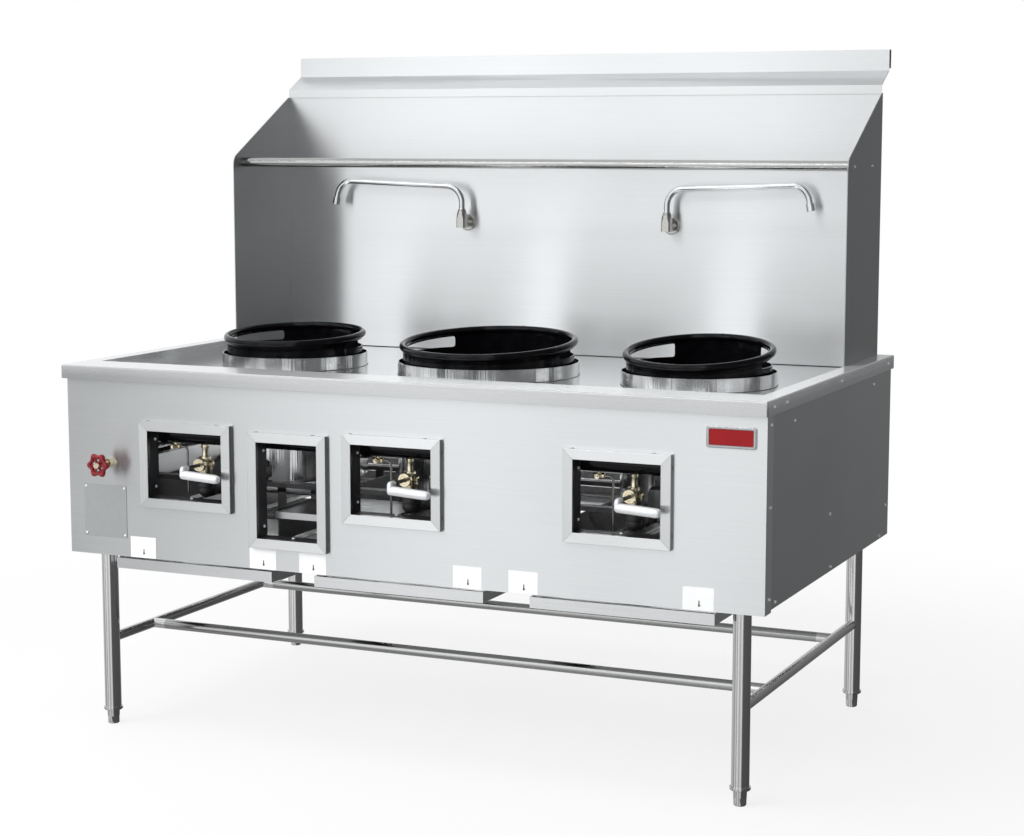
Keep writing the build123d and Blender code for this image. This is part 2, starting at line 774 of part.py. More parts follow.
def bottom_frame():
    """Angles at front and rear, cross plates, rear rail, chamber bars on posts."""
    t = plate_thickness
    rear = cabinet_depth - sheet
    top = tall_bottom - 2 * liner_sheet
    front_beam = block(-frame_side, frame_side, 10, 10 + t, frame_low, top)
    front_beam += block(-frame_side, frame_side, 10, 10 + beam_flange, frame_low, frame_low + t)
    rear_beam = block(-frame_side, frame_side, rear - t, rear, frame_low, top)
    rear_beam += block(-frame_side, frame_side, rear - beam_flange, rear, frame_low, frame_low + t)
    rail = block(-frame_side + t, frame_side - t, rear - 20, rear, rear_rail[0], rear_rail[1])
    solids = [front_beam, rear_beam]
    for side in (-1, 1):
        edge = side * frame_side
        solids.append(block(edge, edge - side * t, 10 + t, rear - t, frame_low + t, frame_top))
        middle = side * cross_plate_side
        solids.append(block(middle, middle - side * t, shelf_edge + 20, rear - 20, frame_low + t, frame_top))
    solids.append(rail)
    for d in (chamber_setback - rail_bar_setback, chamber_setback + rail_bar_setback):
        low = d - rail_bar_width / 2
        high = low + rail_bar_width
        solids.append(block(-frame_side, frame_side, low, high, frame_top, shell_bottom))
        solids.append(block(-frame_side + t, frame_side - t, low, high, frame_low, frame_low + t))
        for post in [x + offset for x in chambers for offset in post_offsets]:
            solids.append(block(post, post + post_size, d - 2, d + 2, frame_low + t, frame_top))
    return solids


def inner_shelf():
    """Folded shelf behind the middle windows, between the two cross plates."""
    left = -cross_plate_side + plate_thickness
    right = -left
    rear = chamber_setback - rail_bar_setback - rail_bar_width / 2 - shelf_clear
    shelf = block(left, right, shelf_edge, rear, shelf_top - sheet, shelf_top)
    shelf += block(left, right, shelf_edge, shelf_edge + sheet, shelf_top - shelf_drop, shelf_top)
    return shelf + block(left, right, rear - sheet, rear, shelf_top - shelf_drop, shelf_top)


tray_half = tray_width / 2
tray_flange_z = tray_bottom + tray_wall - tray_sheet
runner_top = tray_flange_z - runner_gap


def runner(x, side):
    """Z-section rail; side is +1 on the tray's right."""
    near = x + side * (tray_half + runner_clear)
    far = near + side * runner_foot
    t = sheet
    step = far + side * t
    points = [(near, runner_top), (near, runner_top - t), (step, runner_top - t), (step, frame_low),
              (far, frame_low), (far, runner_top)]
    return outline_xz(points, return_flange + 1, cabinet_depth - sheet)


nodes["bottom_frame"] = bottom_frame()
nodes["inner_shelf"] = [inner_shelf()]
nodes["tray_runners"] = [runner(x, side) for x in chambers for side in (-1, 1)]


def drip_tray(x):
    t = tray_sheet
    left = x - tray_half
    right = x + tray_half
    rear = tray_setback + tray_depth
    top = tray_bottom + tray_wall
    body = block(left, right, tray_setback, rear, tray_bottom, tray_bottom + t)
    body += block(left, right, tray_setback, tray_setback + t, tray_bottom, tray_bottom + tray_lip)
    body += block(left, right, tray_setback, tray_setback + tray_lip_return, tray_bottom + tray_lip - t,
                  tray_bottom + tray_lip)
    body += block(left, right, rear - t, rear, tray_bottom, top)
    for side in (-1, 1):
        edge = x + side * tray_half
        body += block(edge, edge - side * t, tray_setback, rear, tray_bottom, tray_bottom + tray_lip)
        body += block(edge, edge - side * t, tray_setback + 12, rear, tray_bottom, top)
        body += block(edge - side * t, edge + side * tray_flange, tray_setback + 12, rear, top - t, top)
    return body


for name, x in zip(names, chambers):
    nodes["drip_tray_" + name] = [drip_tray(x)]


# ---------------------------------------------------------------- water valve and hand wheel
def water_valve():
    body = hex_y(wheel_x, wheel_height, -bonnet_length, 0, bonnet_across)
    body += bar_y(wheel_x, wheel_height, -bonnet_length, valve_body_setback, bonnet_neck)
    body += bar_x(valve_body_setback, wheel_height, wheel_x - valve_body_length / 2 - 0.0,
                  wheel_x + valve_body_length / 2, valve_body_diameter)
    d = valve_body_setback
    body += bar_y(wheel_x, wheel_height, d, d + 24, valve_body_diameter - 4)
    stem_hole = wheel_stem + 2 * running_gap
    return body - bar_y(wheel_x, wheel_height, -bonnet_length - 1, 30, stem_hole)


def water_pipes():
    """Inlet to the rear; outlet up behind the splash back, with a tee at each tap."""
    rear = cabinet_depth + inlet_reach
    inlet = bar_y(wheel_x, wheel_height, valve_body_setback + 24, rear, water_pipe)
    inlet += bar_y(wheel_x, wheel_height, rear - stub_length, rear, water_stub)
    inlet -= bar_y(wheel_x, wheel_height, rear - stub_length, rear + 1, water_pipe - 3)
    port = wheel_x - valve_body_length / 2
    side = wheel_x - water_side
    back = splash_setback + nipple_length + water_pipe / 2 + 3
    d = valve_body_setback
    route = [(port, d, wheel_height), (side, d, wheel_height), (side, back, wheel_height)]
    route += [(side, back, faucet_height), (faucet_side + 10, back, faucet_height)]
    outlet = pipe(route, water_pipe_bend, water_pipe)
    for x in (-faucet_side, faucet_side):
        outlet += bar_x(back, faucet_height, x - 18, x + 18, water_pipe + 6)
        outlet += bar_y(x, faucet_height, splash_setback + nipple_length, back, water_pipe + 5)
    return [inlet, outlet]


def hand_wheel():
    """Lobed wheel: a hub, six spokes and a rim whose outline swells at each spoke."""
    d0 = -wheel_reach + 4
    d1 = d0 + wheel_thick
    rim = Pos(wheel_x, y((d0 + d1) / 2), wheel_height) * Rot(90, 0, 0) * Torus(wheel_radius - 8, 4.5)
    hub = bar_y(wheel_x, wheel_height, d0, d1 + 8, 16)
    wheel = rim + hub
    for k in range(wheel_lobes):
        angle = 2 * pi * k / wheel_lobes
        cx = wheel_x + (wheel_radius - 5.5) * cos(angle)
        cz = wheel_height + (wheel_radius - 5.5) * sin(angle)
        wheel += Pos(cx, y((d0 + d1) / 2), cz) * Sphere(5.5)
        spoke = Pos(wheel_x, y((d0 + d1) / 2), wheel_height) * Rot(0, -degrees(angle), 0)
        wheel += spoke * Pos((wheel_radius - 8) / 2, 0, 0) * Box(wheel_radius - 8, 5, 6)
    return wheel - bar_y(wheel_x, wheel_height, d0 - 1, d1 + 9, wheel_stem)


def spindle():
    nut = hex_y(wheel_x, wheel_height, -wheel_reach, -wheel_reach + 4, 14)
    return nut + bar_y(wheel_x, wheel_height, -wheel_reach + 4, 29, wheel_stem)


nodes["water_valve"] = [water_valve()]
nodes["water_pipes"] = water_pipes()
nodes["hand_wheel"] = [hand_wheel()]
nodes["wheel_spindle"] = [spindle()]


# ---------------------------------------------------------------- splash back
wing_outer = basin_half - splash_gap
rail_end = wing_outer - wing_thickness


def splash_back():
    inner = wing_outer - wing_thickness
    sheet_solid = block(-inner, inner, splash_setback, splash_setback + sheet, deck_floor, splash_top)
    for x in (-faucet_side, faucet_side):
        sheet_solid -= bar_y(x, faucet_height, splash_setback - 5, splash_setback + 5, nipple_diameter)
    pieces = [sheet_solid]
    back = splash_setback + sheet
    for side in (-1, 1):
        a = side * (stiffener_side - stiffener_width / 2)
        b = side * (stiffener_side + stiffener_width / 2)
        channel = block(a, b, back, back + stiffener_depth, rim_top + 1, splash_top)
        channel -= block(a + side * sheet, b - side * sheet, back, back + stiffener_depth - sheet, rim_top,
                         splash_top + 1)
        pieces.append(channel)
    return pieces


def wing(side):
    x0 = side * wing_outer
    x1 = side * (wing_outer - wing_thickness)
    rear = splash_setback + sheet
    points = [(wing_front, deck_floor), (rear, deck_floor), (rear, splash_top)]
    points += [(rear - wing_top_run, splash_top), (wing_front, wing_corner)]
    plate = outline_yz(points, min(x0, x1), max(x0, x1))
    corner = plate.edges().filter_by(Axis.X).sort_by(lambda e: hypot(e.center().Y - y(wing_front),
                                                                     e.center().Z - wing_corner))[0]
    return fillet(corner, wing_corner_radius)


def top_shelf():
    """Folded sheet: lower return, lip, slope, riser, top and rear return."""
    t = sheet
    d0 = shelf_front
    d1 = shelf_front + shelf_run
    z0 = splash_top
    z1 = z0 + shelf_lip
    z2 = z1 + shelf_rise
    z3 = z2 + riser_height
    slope = atan2(shelf_rise, shelf_run)
    dz = t / cos(slope)
    outline = [(d0 + shelf_return, z0), (d0, z0), (d0, z1), (d1, z2), (d1, z3), (d1 + riser_depth, z3),
               (d1 + riser_depth, z2 + 6), (d1 + riser_depth - t, z2 + 6), (d1 + riser_depth - t, z3 - t),
               (d1 + t, z3 - t), (d1 + t, z2 - dz + 0.4), (d0 + t, z1 - dz + 0.4), (d0 + t, z0 + t),
               (d0 + shelf_return, z0 + t)]
    return outline_yz(outline, -rail_end, rail_end)


nodes["splash_back"] = splash_back()
nodes["splash_wing_left"] = [wing(-1)]
nodes["splash_wing_right"] = [wing(1)]
nodes["top_shelf"] = [top_shelf()]
nodes["rail_pipe"] = [bar_x(rail_setback, rail_height, -rail_end, rail_end, rail_diameter)]


# ---------------------------------------------------------------- swing spouts
body_low = faucet_height - faucet_body_drop
body_top = body_low + faucet_body_height
faucet_setback = splash_setback - faucet_reach


def faucet_body(x):
    """Wall flange, nipple and an upright body: a square bar turned to a cone at its top."""
    r = faucet_body_across * 0.62
    t = faucet_body_top / 2
    outline = [(0, body_low), (r, body_low), (r, body_low + 24), (t + 3.5, body_top - 10)]
    body = revolved(x, faucet_setback, outline + [(t, body_top), (0, body_top)])
    square = faucet_body_across / 2
    d = faucet_setback
    body &= block(x - square, x + square, d - square, d + square, body_low, body_top)
    body += bar_y(x, faucet_height, faucet_setback, splash_setback + nipple_length, nipple_diameter)
    flange = bar_y(x, faucet_height, splash_setback - flange_thick, splash_setback, flange_diameter)
    flange = fillet(flange.edges().group_by(Axis.Y)[0], 3)
    body += flange
    seat = spout_diameter + 2 * running_gap
    return body - bar_z(x, faucet_setback, body_top - spout_seat, body_top + 1, seat)


def spout_points(side):
    """Foot, corner over the foot, corner over the tip and the tip's end."""
    x = side * faucet_side
    corner = x + side * spout_reach
    high = spout_height + spout_reach * tan(radians(spout_slope))
    end = corner + side * tip_length * sin(radians(tip_slant))
    low = high - tip_length * cos(radians(tip_slant))
    d = faucet_setback
    return [(x, d, body_top - spout_seat + 0.5), (x, d, spout_height), (corner, d, high), (end, d, low)]


def spout(side):
    """Bent tube: up out of the body, along the wall and down at the tip."""
    return pipe(spout_points(side), spout_bend, spout_diameter, spout_diameter - 3)


def aerator(side):
    x, d, z = spout_points(side)[3]
    low = (Align.CENTER, Align.CENTER, Align.MAX)
    body = Cylinder(aerator_diameter / 2, aerator_length, align=low)
    body = fillet(body.edges().group_by(Axis.Z)[-1], 1)
    body -= Pos(0, 0, -8) * Cylinder(aerator_diameter / 2 - 2, aerator_length, align=low)
    return Pos(x, y(d), z) * Rot(0, -side * tip_slant, 0) * body


nodes["faucet_bodies"] = [faucet_body(-faucet_side), faucet_body(faucet_side)]
for name, side in (("left", -1), ("right", 1)):
    nodes["swing_spout_" + name] = [spout(side)]
    nodes["aerator_" + name] = [aerator(side)]


# ---------------------------------------------------------------- plates and screws
def plate_on_front(corner, size):
    x0 = -half + corner[0]
    return block(x0, x0 + size[0], -plate_thick, 0, corner[1], corner[1] + size[1])


standing = (Align.CENTER, Align.CENTER, Align.MIN)
head = Cone(screw_radius, screw_radius - 1.8, screw_height, align=standing)


def screw_x(x, d, z, side):
    """Low domed head on a face whose normal is side times X."""
    return Pos(x, y(d), z) * Rot(0, 90 * side, 0) * head


def screw_z(x, d, z):
    return Pos(x, y(d), z) * head


rim_screws = (30.0, 121.0, 562.0, cabinet_depth - 56)
flange_screws = (868.5, 686.0, 482.6)
side_screws = ((207.0, 856.5), (cabinet_depth - 168, 866.0), (509.0, 595.0), (cabinet_depth - 23, 534.5),
               (cabinet_depth - 81.5, 463.2), (518.0, 466.0), (79.0, 468.0))
wing_screws = ((rail_setback + 1, rail_height - 1.5), (rail_setback + 168, rail_height - 1.5))


def screws():
    right = [screw_x(half + rim_side_reach, d, rim_top - 16, 1) for d in rim_screws]
    right += [screw_x(half, 30.0, z, 1) for z in flange_screws]
    right += [screw_x(half - sheet, d, z, 1) for d, z in side_screws]
    right += [screw_x(wing_outer, d, z, 1) for d, z in wing_screws]
    heads = mirrored(right)
    for x, bottom, width, height in window_list():
        left_plate = x - width / 2
        heads += [screw_x(left_plate, 24.0, z, 1) for z in (bottom + 24, bottom + height - 24)]
        heads.append(screw_z(x, 20.0, bottom))
    return heads


nodes["data_plate"] = [plate_on_front(data_plate_corner, data_plate_size)]
nodes["badge_plate"] = [plate_on_front((badge_corner[0] + half, badge_corner[1]), badge_size)]
nodes["panel_screws"] = screws()

# ---------------------------------------------------------------- export
for node_name, solids in nodes.items():
    shape = solids[0] if len(solids) == 1 else Compound(children=solids)
    export_step(shape, "parts/" + node_name + ".step")
print(len(nodes), "nodes")
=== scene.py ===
from math import atan2, cos, pi, radians, sin, sqrt, tan

import bmesh
import bpy
from mathutils import Matrix, Vector


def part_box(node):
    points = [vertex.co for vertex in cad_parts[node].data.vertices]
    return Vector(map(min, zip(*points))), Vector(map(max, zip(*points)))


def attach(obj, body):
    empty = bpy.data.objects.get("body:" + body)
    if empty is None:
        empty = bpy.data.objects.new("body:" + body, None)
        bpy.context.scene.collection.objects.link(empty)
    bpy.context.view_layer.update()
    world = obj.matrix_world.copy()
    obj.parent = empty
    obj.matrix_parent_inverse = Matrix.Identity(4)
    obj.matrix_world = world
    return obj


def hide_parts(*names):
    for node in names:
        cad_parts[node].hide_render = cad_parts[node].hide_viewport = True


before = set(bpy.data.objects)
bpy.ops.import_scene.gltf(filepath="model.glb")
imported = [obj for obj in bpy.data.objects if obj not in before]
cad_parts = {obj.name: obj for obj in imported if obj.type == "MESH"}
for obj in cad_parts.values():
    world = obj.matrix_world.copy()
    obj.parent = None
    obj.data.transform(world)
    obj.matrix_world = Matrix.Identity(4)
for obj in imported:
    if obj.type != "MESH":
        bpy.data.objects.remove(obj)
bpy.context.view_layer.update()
scene = bpy.context.scene

# ---------------------------------------------------------------- camera, floor and light
# A long lens at the height of the splash back, turned 24 degrees to the left of the panels.
# The room is a white sweep with a darker side on the right, where no lamp stands.
camera = bpy.data.objects.new("camera", bpy.data.cameras.new("camera"))
scene.collection.objects.link(camera)
camera.location = (2.3038, -4.9726, 1.4964)
camera.rotation_euler = (radians(90 - 7.5256), 0, radians(24.2495))
camera.data.lens = 76.217
camera.data.sensor_width = 36
scene.camera = camera
scene.view_settings.view_transform = "Standard"


def math_node(nodes, links, operation, *values):
    """A Math node on numbers or sockets; gives its result."""
    node = nodes.new("ShaderNodeMath")
    node.operation = operation
    for index, value in enumerate(values):
        if isinstance(value, (int, float)):
            node.inputs[index].default_value = value
        else:
            links.new(value, node.inputs[index])
    return node.outputs[0]


def spread(nodes, links, value, low, high, start=0.3, end=0.7, smooth=False):
    """Maps a value between start and end to one between low and high."""
    node = nodes.new("ShaderNodeMapRange")
    if smooth:
        node.interpolation_type = "SMOOTHSTEP"
    node.inputs["From Min"].default_value = start
    node.inputs["From Max"].default_value = end
    node.inputs["To Min"].default_value = low
    node.inputs["To Max"].default_value = high
    links.new(value, node.inputs["Value"])
    return node.outputs[0]


def straight_look(nodes, links):
    """1 for the rays that meet the backdrop straight or through glass, and 0 for all others."""
    path = nodes.new("ShaderNodeLightPath")
    straight, through = path.outputs["Is Camera Ray"], path.outputs["Is Transmission Ray"]
    return math_node(nodes, links, "MAXIMUM", straight, through)


def new_material(name):
    """A material with its nodes, its links and its Principled shader."""
    made = bpy.data.materials.new(name)
    made.use_nodes = True
    nodes, links = made.node_tree.nodes, made.node_tree.links
    return made, nodes, links, nodes["Principled BSDF"]


# Brightness of the room by heading, in degrees left of straight ahead of the front panel.
room_walls = [
    (-180, 0.3), (-150, 0.13), (-75, 0.15), (-45, 0.15), (-32, 0.2),                # the unlit right side
    (-26, 1.3), (-18, 1.5), (-8, 1.0), (3, 0.75), (12, 0.9),                        # the pale wall ahead
    (16, 1.15), (18, 1.6), (20.8, 1.85), (21.7, 0.55), (23, 0.55), (24, 1.85),      # two tall windows
    (27.5, 1.75), (29, 1.4), (32.5, 1.25), (34.5, 0.6), (40, 0.45),                 # and the wall by them
    (48, 1.2), (60, 1.2), (70, 0.5), (95, 0.95), (130, 1.0), (150, 0.8), (180, 0.3)]   # left and rear
world = bpy.data.worlds.new("studio")
scene.world = world
world.use_nodes = True
wn, wl = world.node_tree.nodes, world.node_tree.links
wn.clear()
direction = wn.new("ShaderNodeTexCoord")
split = wn.new("ShaderNodeSeparateXYZ")
wl.new(direction.outputs["Generated"], split.inputs[0])
left = math_node(wn, wl, "MULTIPLY", split.outputs["X"], -1.0)
ahead = math_node(wn, wl, "MULTIPLY", split.outputs["Y"], -1.0)
heading = math_node(wn, wl, "ARCTAN2", left, ahead)
walls = wn.new("ShaderNodeValToRGB")
while len(walls.color_ramp.elements) < len(room_walls):
    walls.color_ramp.elements.new(0.5)
for element, (degrees, level) in zip(walls.color_ramp.elements, room_walls):
    element.position = degrees / 360 + 0.5
    element.color = (level * 0.975, level * 0.99, level, 1)
wl.new(math_node(wn, wl, "MULTIPLY_ADD", heading, 1 / (2 * pi), 0.5), walls.inputs["Fac"])
room = wn.new("ShaderNodeBackground")
wl.new(walls.outputs["Color"], room.inputs["Color"])
wl.new(spread(wn, wl, split.outputs["Z"], 0.45, 1.0, -0.45, 0.1, smooth=True), room.inputs["Strength"])
backdrop = wn.new("ShaderNodeBackground")
backdrop.inputs["Color"].default_value = (1, 1, 1, 1)
choose = wn.new("ShaderNodeMixShader")
wl.new(straight_look(wn, wl), choose.inputs[0])
wl.new(room.outputs[0], choose.inputs[1])
wl.new(backdrop.outputs[0], choose.inputs[2])
out = wn.new("ShaderNodeOutputWorld")
wl.new(choose.outputs[0], out.inputs["Surface"])

# The floor takes the shadow of the range near its middle and fades into the backdrop.
bm = bmesh.new()
bmesh.ops.create_circle(bm, cap_ends=True, segments=96, radius=3.4)
floor_mesh = bpy.data.meshes.new("floor")
bm.to_mesh(floor_mesh)
bm.free()
floor = bpy.data.objects.new("floor", floor_mesh)
scene.collection.objects.link(floor)
floor_paint, fn, fl, matt = new_material("floor_paint")
matt.inputs["Base Color"].default_value = (0.86, 0.86, 0.86, 1)
matt.inputs["Roughness"].default_value = 0.8
glow = fn.new("ShaderNodeEmission")
spot = fn.new("ShaderNodeTexCoord")
away = fn.new("ShaderNodeVectorMath")
away.operation = "LENGTH"
fl.new(spot.outputs["Object"], away.inputs[0])
fade = spread(fn, fl, away.outputs["Value"], 0.82, 1.0, 1.2, 2.9, smooth=True)
both = fn.new("ShaderNodeMixShader")
fl.new(math_node(fn, fl, "MULTIPLY", straight_look(fn, fl), fade), both.inputs[0])
fl.new(matt.outputs[0], both.inputs[1])
fl.new(glow.outputs[0], both.inputs[2])
fl.new(both.outputs[0], fn["Material Output"].inputs["Surface"])
floor_mesh.materials.append(floor_paint)
floor.visible_glossy = False


def lamp(name, place, target, width, height, power, mirrored=False):
    """A soft box that points at the target; only a mirrored one shows in polished metal."""
    light = bpy.data.lights.new(name, "AREA")
    light.shape = "RECTANGLE"
    light.size = width
    light.size_y = height
    light.energy = power
    holder = bpy.data.objects.new(name, light)
    holder.location = place
    holder.visible_glossy = mirrored
    holder.rotation_euler = (Vector(target) - Vector(place)).to_track_quat("-Z", "Y").to_euler()
    scene.collection.objects.link(holder)


lamp("window_side", (-4.2, -4.4, 3.2), (0, 0, 0.9), 3.4, 2.6, 150)
lamp("ceiling", (-0.6, -1.2, 4.6), (0, 0.1, 0.9), 3.2, 2.2, 85)
lamp("strip", (-1.4, -3.2, 3.9), (0, 0, 0.9), 3.2, 0.08, 11, mirrored=True)
lamp("under_deck_front", (0.0, -0.46, 0.86), (0.0, 0.3, 0.5), 1.7, 0.05, 11)
lamp("behind_chambers", (0.0, 0.27, 0.6), (0.0, 0.516, 0.57), 1.7, 0.05, 6)


# ---------------------------------------------------------------- underframe
# Four legs of stainless tube in welded sockets, on screwed feet, with four stretchers and their
# tees. The tube has a fine grain and soft clouding; the stretchers along the range get painted shade.
def group(name, inputs, outputs):
    """An empty node group with its sockets; gives it with its nodes, links, entry and exit."""
    tree = bpy.data.node_groups.new(name, "ShaderNodeTree")
    for label, kind, value in inputs:
        socket = tree.interface.new_socket(label, in_out="INPUT", socket_type=kind)
        socket.default_value = value
    for label in outputs:
        tree.interface.new_socket(label, in_out="OUTPUT", socket_type="NodeSocketFloat")
    return tree, tree.nodes, tree.links, tree.nodes.new("NodeGroupInput"), tree.nodes.new("NodeGroupOutput")


grain, gn, gl, enter, leave = group("sheet_grain", [("Stretch", "NodeSocketVector", (3.0, 500.0, 500.0)),
                                                    ("Cloud Scale", "NodeSocketFloat", 2.0)],
                                    ["Streaks", "Clouds"])
where = gn.new("ShaderNodeTexCoord")
pull = gn.new("ShaderNodeVectorMath")
pull.operation = "MULTIPLY"
gl.new(where.outputs["Object"], pull.inputs[0])
gl.new(enter.outputs["Stretch"], pull.inputs[1])
hair = gn.new("ShaderNodeTexNoise")
hair.inputs["Scale"].default_value = 1.0
hair.inputs["Detail"].default_value = 3.0
hair.inputs["Roughness"].default_value = 0.65
gl.new(pull.outputs[0], hair.inputs["Vector"])
cloud = gn.new("ShaderNodeTexNoise")
cloud.inputs["Detail"].default_value = 4.0
gl.new(where.outputs["Object"], cloud.inputs["Vector"])
gl.new(enter.outputs["Cloud Scale"], cloud.inputs["Scale"])
gl.new(hair.outputs["Fac"], leave.inputs["Streaks"])
gl.new(cloud.outputs["Fac"], leave.inputs["Clouds"])


def tint(nodes, links, value, low, high, start=0.3, end=0.7):
    """Maps a value between start and end to a colour between two."""
    node = nodes.new("ShaderNodeMix")
    node.data_type = "RGBA"
    node.inputs["A"].default_value = (*low, 1)
    node.inputs["B"].default_value = (*high, 1)
    links.new(spread(nodes, links, value, 0, 1, start, end), node.inputs["Factor"])
    return node.outputs["Result"]


def bump(nodes, links, shader, height, strength, distance):
    """Raises a pattern on a surface."""
    node = nodes.new("ShaderNodeBump")
    node.inputs["Strength"].default_value = strength
    node.inputs["Distance"].default_value = distance
    links.new(height, node.inputs["Height"])
    links.new(node.outputs[0], shader.inputs["Normal"])


def steel(name, dark, light, rough, stretch, clouds=2.0, relief=0.12, depth=0.0004, metallic=1.0,
          brushed=0.0, across=0.25):
    """Metal sheet or tube: dark and light bound its colour and rough its roughness, stretch is how
    fine its grain is along X, Y and Z, and brushed how far the grain draws out reflections."""
    made, nodes, links, shader = new_material(name)
    pattern = nodes.new("ShaderNodeGroup")
    pattern.node_tree = grain
    pattern.inputs["Stretch"].default_value = stretch
    pattern.inputs["Cloud Scale"].default_value = clouds
    shader.inputs["Metallic"].default_value = metallic
    shader.inputs["Anisotropic"].default_value = brushed
    shader.inputs["Anisotropic Rotation"].default_value = across if brushed else 0.0
    soft = math_node(nodes, links, "MULTIPLY", pattern.outputs["Clouds"], 0.65)
    mixed = math_node(nodes, links, "MULTIPLY_ADD", pattern.outputs["Streaks"], 0.35, soft)
    links.new(tint(nodes, links, mixed, dark, light), shader.inputs["Base Color"])
    links.new(spread(nodes, links, mixed, *rough), shader.inputs["Roughness"])
    bump(nodes, links, shader, pattern.outputs["Streaks"], relief, depth)
    return made


def coat(material, *names):
    """Gives CAD nodes their finish."""
    for name in names:
        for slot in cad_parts[name].material_slots:
            slot.material = material


tube_steel = steel("tube_steel", (0.68, 0.675, 0.66), (0.8, 0.795, 0.78), (0.12, 0.2), (600, 600, 40),
                   relief=0.06)
# A darker copy of the tube steel: painted shade for tubes that hang in the shade.
shaded_tube_steel = steel("shaded_tube_steel", (0.4, 0.4, 0.39), (0.52, 0.52, 0.51), (0.12, 0.2),
                         (40, 600, 600), relief=0.06)
coat(tube_steel, "legs", "leg_sockets", "side_stretchers", "tee_fittings")
for end in ("front", "rear"):
    for side in ("left", "right"):
        coat(tube_steel, "levelling_foot_" + end + "_" + side)
coat(shaded_tube_steel, "long_stretchers")

# ---------------------------------------------------------------- bottom frame and inner sheets
# Black painted beams and plates carry the chambers inside the cabinet, with a plain shelf behind
# them. The rear sheet is zinc-coated, and black plates line the windows behind their frames.
mottle, mn, ml, enter, leave = group("mottle", [("Scale", "NodeSocketFloat", 40.0)], ["Mottle"])
where = mn.new("ShaderNodeTexCoord")
spots = mn.new("ShaderNodeTexNoise")
spots.inputs["Detail"].default_value = 5.0
ml.new(where.outputs["Object"], spots.inputs["Vector"])
ml.new(enter.outputs["Scale"], spots.inputs["Scale"])
ml.new(spots.outputs["Fac"], leave.inputs["Mottle"])


def paint(name, dark, light, rough, scale, relief, metallic=0.0, shine=0.5):
    """A coated or cast surface: mottled colour, uneven gloss and a fine grain."""
    made, nodes, links, shader = new_material(name)
    pattern = nodes.new("ShaderNodeGroup")
    pattern.node_tree = mottle
    pattern.inputs["Scale"].default_value = scale
    links.new(tint(nodes, links, pattern.outputs["Mottle"], dark, light), shader.inputs["Base Color"])
    links.new(spread(nodes, links, pattern.outputs["Mottle"], *rough), shader.inputs["Roughness"])
    shader.inputs["Metallic"].default_value = metallic
    shader.inputs["Specular IOR Level"].default_value = shine
    bump(nodes, links, shader, pattern.outputs["Mottle"], relief, 0.0006)
    return made


black_steel = paint("black_steel", (0.012, 0.012, 0.013), (0.03, 0.03, 0.031), (0.35, 0.55), 90, 0.2)
inner_steel = steel("inner_steel", (0.5, 0.505, 0.51), (0.64, 0.645, 0.65), (0.25, 0.38), (3, 200, 200),
                    relief=0.03)
zinc_sheet = steel("zinc_sheet", (0.6, 0.61, 0.62), (0.78, 0.79, 0.8), (0.4, 0.55), (30, 30, 30), clouds=9,
                   relief=0.02, metallic=0.25)
coat(black_steel, "bottom_frame", "window_liners")
coat(inner_steel, "inner_shelf")
coat(zinc_sheet, "rear_panel")

# ---------------------------------------------------------------- front and side panels
# Satin stainless sheet; its grain runs along the range on the front and front to back on the sides.
# The sides are screwed on with zinc pan heads, which hold the window liners too; their pale colour is
# partly the zinc's own and partly a painted glint.
sheet_steel = steel("sheet_steel", (0.7, 0.71, 0.715), (0.8, 0.81, 0.815), (0.27, 0.33), (3, 520, 520),
                    relief=0.03, brushed=0.9)
upright_steel = steel("upright_steel", (0.56, 0.565, 0.57), (0.68, 0.685, 0.69), (0.27, 0.34),
                      (520, 3, 520), relief=0.03, brushed=0.75)
# Near-white and only partly metallic, so the lamps light the heads: partly zinc colour, partly painted
# glint.
zinc_and_glint = paint("zinc_and_glint", (0.78, 0.79, 0.8), (0.92, 0.93, 0.94), (0.2, 0.3), 80, 0.02,
                    metallic=0.3)
coat(sheet_steel, "front_panel")
coat(upright_steel, "side_panel_left", "side_panel_right")
coat(zinc_and_glint, "panel_screws")

# ---------------------------------------------------------------- window frames
# Four frames of square stainless tube round the openings of the front panel. Each side is a
# length of tube cut at 45 degrees; the corners are tacked and ground, and the joint still shows.
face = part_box("data_plate")[1].y                 # outer face of the front panel
tube_width = 0.024
tube_proud = 0.012
mitre_gap = 0.0003
openings = [(-0.564, 0.604, 0.105, 0.166), (-0.279, 0.527, 0.0825, 0.233), (0.0, 0.604, 0.105, 0.166),
            (0.564, 0.604, 0.105, 0.166)]        # middle, lower edge, half width and height


def piece(name, bm, material, body, *nodes, slot, crease=35):
    """Closes a mesh, turns its faces outwards, shades it by angle and fixes it to its body."""
    bmesh.ops.remove_doubles(bm, verts=bm.verts, dist=1e-6)
    bmesh.ops.recalc_face_normals(bm, faces=bm.faces)
    mesh = bpy.data.meshes.new(name)
    bm.to_mesh(mesh)
    bm.free()
    mesh.polygons.foreach_set("use_smooth", [True] * len(mesh.polygons))
    mesh.set_sharp_from_angle(angle=radians(crease))
    for one in material if isinstance(material, list) else [material]:
        mesh.materials.append(one)
    made = bpy.data.objects.new(name, mesh)
    scene.collection.objects.link(made)
    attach(made, body)
    for node in nodes:
        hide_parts(node)


